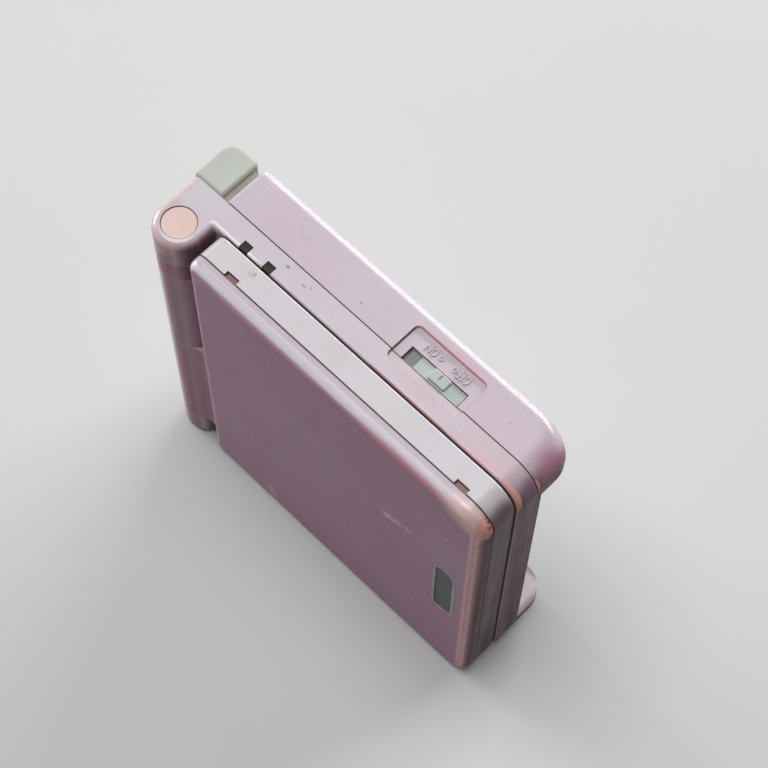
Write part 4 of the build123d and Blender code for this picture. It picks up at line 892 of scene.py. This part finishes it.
def wire_net_tree():
    grower = Grower("wire_net", {"Wires": 20, "Radius": 0.008, "Wire Thickness": 0.0001})
    sizes = grower.sizes
    reach = grower.times(sizes["Radius"], 0.96)
    line = grower.add("GeometryNodeMeshLine", {
        "Count": sizes["Wires"], "Start Location": grower.vector(x=grower.times(reach, -1.0)),
        "Offset": grower.vector(x=reach)}, mode="END_POINTS")
    position = grower.add("GeometryNodeInputPosition").outputs[0]
    across = grower.add("ShaderNodeSeparateXYZ", {0: position}).outputs[0]
    square = grower.math("SUBTRACT", grower.times(sizes["Radius"], sizes["Radius"]),
                         grower.times(across, across))
    chord = grower.times(grower.math("SQRT", square), 2.0)
    wire = grower.add("GeometryNodeMeshCylinder", {
        "Vertices": 6, "Radius": grower.times(sizes["Wire Thickness"], 0.5), "Depth": 1.0})
    upright = grower.add("GeometryNodeInstanceOnPoints", {
        "Points": line.outputs["Mesh"], "Instance": wire.outputs["Mesh"],
        "Scale": grower.vector(1.0, 1.0, chord)})
    level = grower.add("GeometryNodeTransform", {
        "Geometry": upright.outputs["Instances"], "Rotation": (0.0, math.pi / 2, 0.0),
        "Translation": grower.vector(y=sizes["Wire Thickness"])})
    both = grower.add("GeometryNodeJoinGeometry")
    grower.join(upright.outputs["Instances"], both.inputs[0])
    grower.join(level.outputs["Geometry"], both.inputs[0])
    grower.end(both.outputs[0])
    return grower


wire_net_tree().grow("speaker_net", "base", "steel", "plated_steel", NET_MIDDLE,
                     {"Wires": NET_WIRES, "Radius": NET_RADIUS * MM,
                      "Wire Thickness": NET_WIRE * MM})

# %% [markdown]
# ## Spring contacts in the sockets
# Each socket's tongue carries a row of thin bowed strips. A strip is a flat section swept along a
# shallow curve, and the row repeats it at one pitch.

# %% Spring contacts
SOCKETS = (("link", 6, 1.05, 16.4, 41.0), ("power", 4, 1.15, 16.6, 25.5))
STRIP = {"Length": 2.4 * MM, "Bow": 0.5 * MM, "Width": 0.45 * MM, "Thickness": 0.12 * MM}
STRIP_START, STRIP_RISE = 4.8, 0.06


def spring_contact_tree():
    grower = Grower("spring_contacts", {"Count": 6, "Pitch": 0.001, "Length": 0.0024,
                                        "Bow": 0.0004, "Width": 0.0004, "Thickness": 0.00012})
    sizes = grower.sizes
    row = grower.add("GeometryNodeMeshLine", {"Count": sizes["Count"],
                                              "Offset": grower.vector(z=sizes["Pitch"])})
    curve = grower.add("GeometryNodeCurveQuadraticBezier", {
        "Resolution": 10, "Start": (0.0, 0.0, 0.0),
        "Middle": grower.vector(grower.times(sizes["Length"], 0.5), sizes["Bow"]),
        "End": grower.vector(sizes["Length"])})
    section = grower.add("GeometryNodeCurvePrimitiveQuadrilateral", {
        "Width": sizes["Thickness"], "Height": sizes["Width"]})
    strip = grower.add("GeometryNodeCurveToMesh", {
        "Curve": curve.outputs["Curve"], "Profile Curve": section.outputs["Curve"],
        "Fill Caps": True})
    strips = grower.add("GeometryNodeInstanceOnPoints", {"Points": row.outputs["Mesh"],
                                                         "Instance": strip.outputs["Mesh"]})
    grower.end(strips.outputs["Instances"])
    return grower


spring_contacts = spring_contact_tree()
for socket_name, count, pitch, tongue_y, middle_z in SOCKETS:
    spring_contacts.grow(
        socket_name + "_port_contacts", "base", "gold_contacts", "gold_contact",
        (STRIP_START, tongue_y + STRIP_RISE, middle_z - pitch * (count - 1) / 2),
        {"Count": count, "Pitch": pitch * MM, **STRIP})

# %% [markdown]
# ## The words beside the switch
# The panel carries two plain words, on and off, raised from the same plastic, each with a small
# ring. They read with their tops towards the lid. Each letter is edged with a painted shade, so
# each word is two meshes: a wide flat one in a dark brown that paints that shade, and on it the
# bold letters in the panel's own pink. Text objects give the right letterforms; they are turned
# into meshes, so that their place can be written into the mesh.

# %% Raised words
WORD_ROW = (17.85, 19.65)
WORDS = (("ON", 53.7, 56.1), ("OFF", 61.0, 63.7))
RINGS = (("ring_on", 57.15), ("ring_off", 60.3))
RING_RADIUS, RING_THICKNESS, RING_STEPS = 0.42, 0.22, 28
# The layer keyed dirt is a painted shade round the letters' edges.
LAYERS = {"dirt": (0.07, 0.05, 0.07), "letters": (0.0, 0.02, 0.20)}  # spread, offset, height


def raised_word(layer, text, start_x, end_x):
    """One layer of a word that reads towards the hinge, its letters' tops towards the lid."""
    grow, offset, height = LAYERS[layer]
    letters = bpy.data.curves.new("word_" + text.lower(), "FONT")
    letters.body = text
    letters.extrude = 0.5
    letters.offset = offset
    letters.resolution_u = 3
    name = "word_" + text.lower() + "_" + layer
    word = baked(bpy.data.objects.new("maker", letters), name)
    corners = [vertex.co.copy() for vertex in word.data.vertices]
    low = Vector(min(corner[axis] for corner in corners) for axis in range(3))
    high = Vector(max(corner[axis] for corner in corners) for axis in range(3))
    first = (end_x + grow, WORD_ROW[1] + grow, PANEL_FLOOR - 0.05)
    last = (start_x - grow, WORD_ROW[0] - grow, PANEL_FLOOR + height)
    for vertex in word.data.vertices:
        share = [(vertex.co[axis] - low[axis]) / (high[axis] - low[axis]) for axis in range(3)]
        vertex.co = place(*(a + (b - a) * part for a, b, part in zip(first, last, share)))
    return word


def raised_ring(layer, name, x):
    """One layer of the small ring beside a word."""
    grow, _, height = LAYERS[layer]
    ring = bpy.data.curves.new(name, "CURVE")
    ring.dimensions = "3D"
    ring.bevel_depth = (RING_THICKNESS / 2 + grow) * MM
    ring.bevel_resolution = 2
    spline = ring.splines.new("POLY")
    spline.points.add(RING_STEPS - 1)
    sunk = PANEL_FLOOR + height - RING_THICKNESS / 2 - grow
    for index, point in enumerate(spline.points):
        angle = 2 * math.pi * index / RING_STEPS
        centre = place(x + RING_RADIUS * math.cos(angle),
                       sum(WORD_ROW) / 2 + RING_RADIUS * math.sin(angle), sunk)
        point.co = (*centre, 1.0)
    spline.use_cyclic_u = True
    return baked(bpy.data.objects.new("maker", ring), name + "_" + layer)


def word_finish(name, light, deep):
    made = Finish(name)
    patches = made.noise(900.0, 3.0)
    made.set(colour=made.blend(patches, light, deep), rough=0.45)
    made.bump(patches, 0.4, 0.00002)
    return made.material


WORD_FINISHES = {
    # painted shade round the letters
    "dirt": word_finish("letter_dirt", srgb(150, 112, 116), srgb(132, 94, 98)),
    "letters": word_finish("letter_pink", srgb(212, 198, 206), srgb(206, 190, 199)),
}
marks = 0
for layer, material in WORD_FINISHES.items():
    pieces = [raised_word(layer, *word) for word in WORDS]
    pieces += [raised_ring(layer, *ring) for ring in RINGS]
    for piece in pieces:
        piece.data.materials.clear()
        piece.data.materials.append(material)
        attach(piece, "base")
    marks += len(pieces)
print("raised marks", marks)

# %% [markdown]
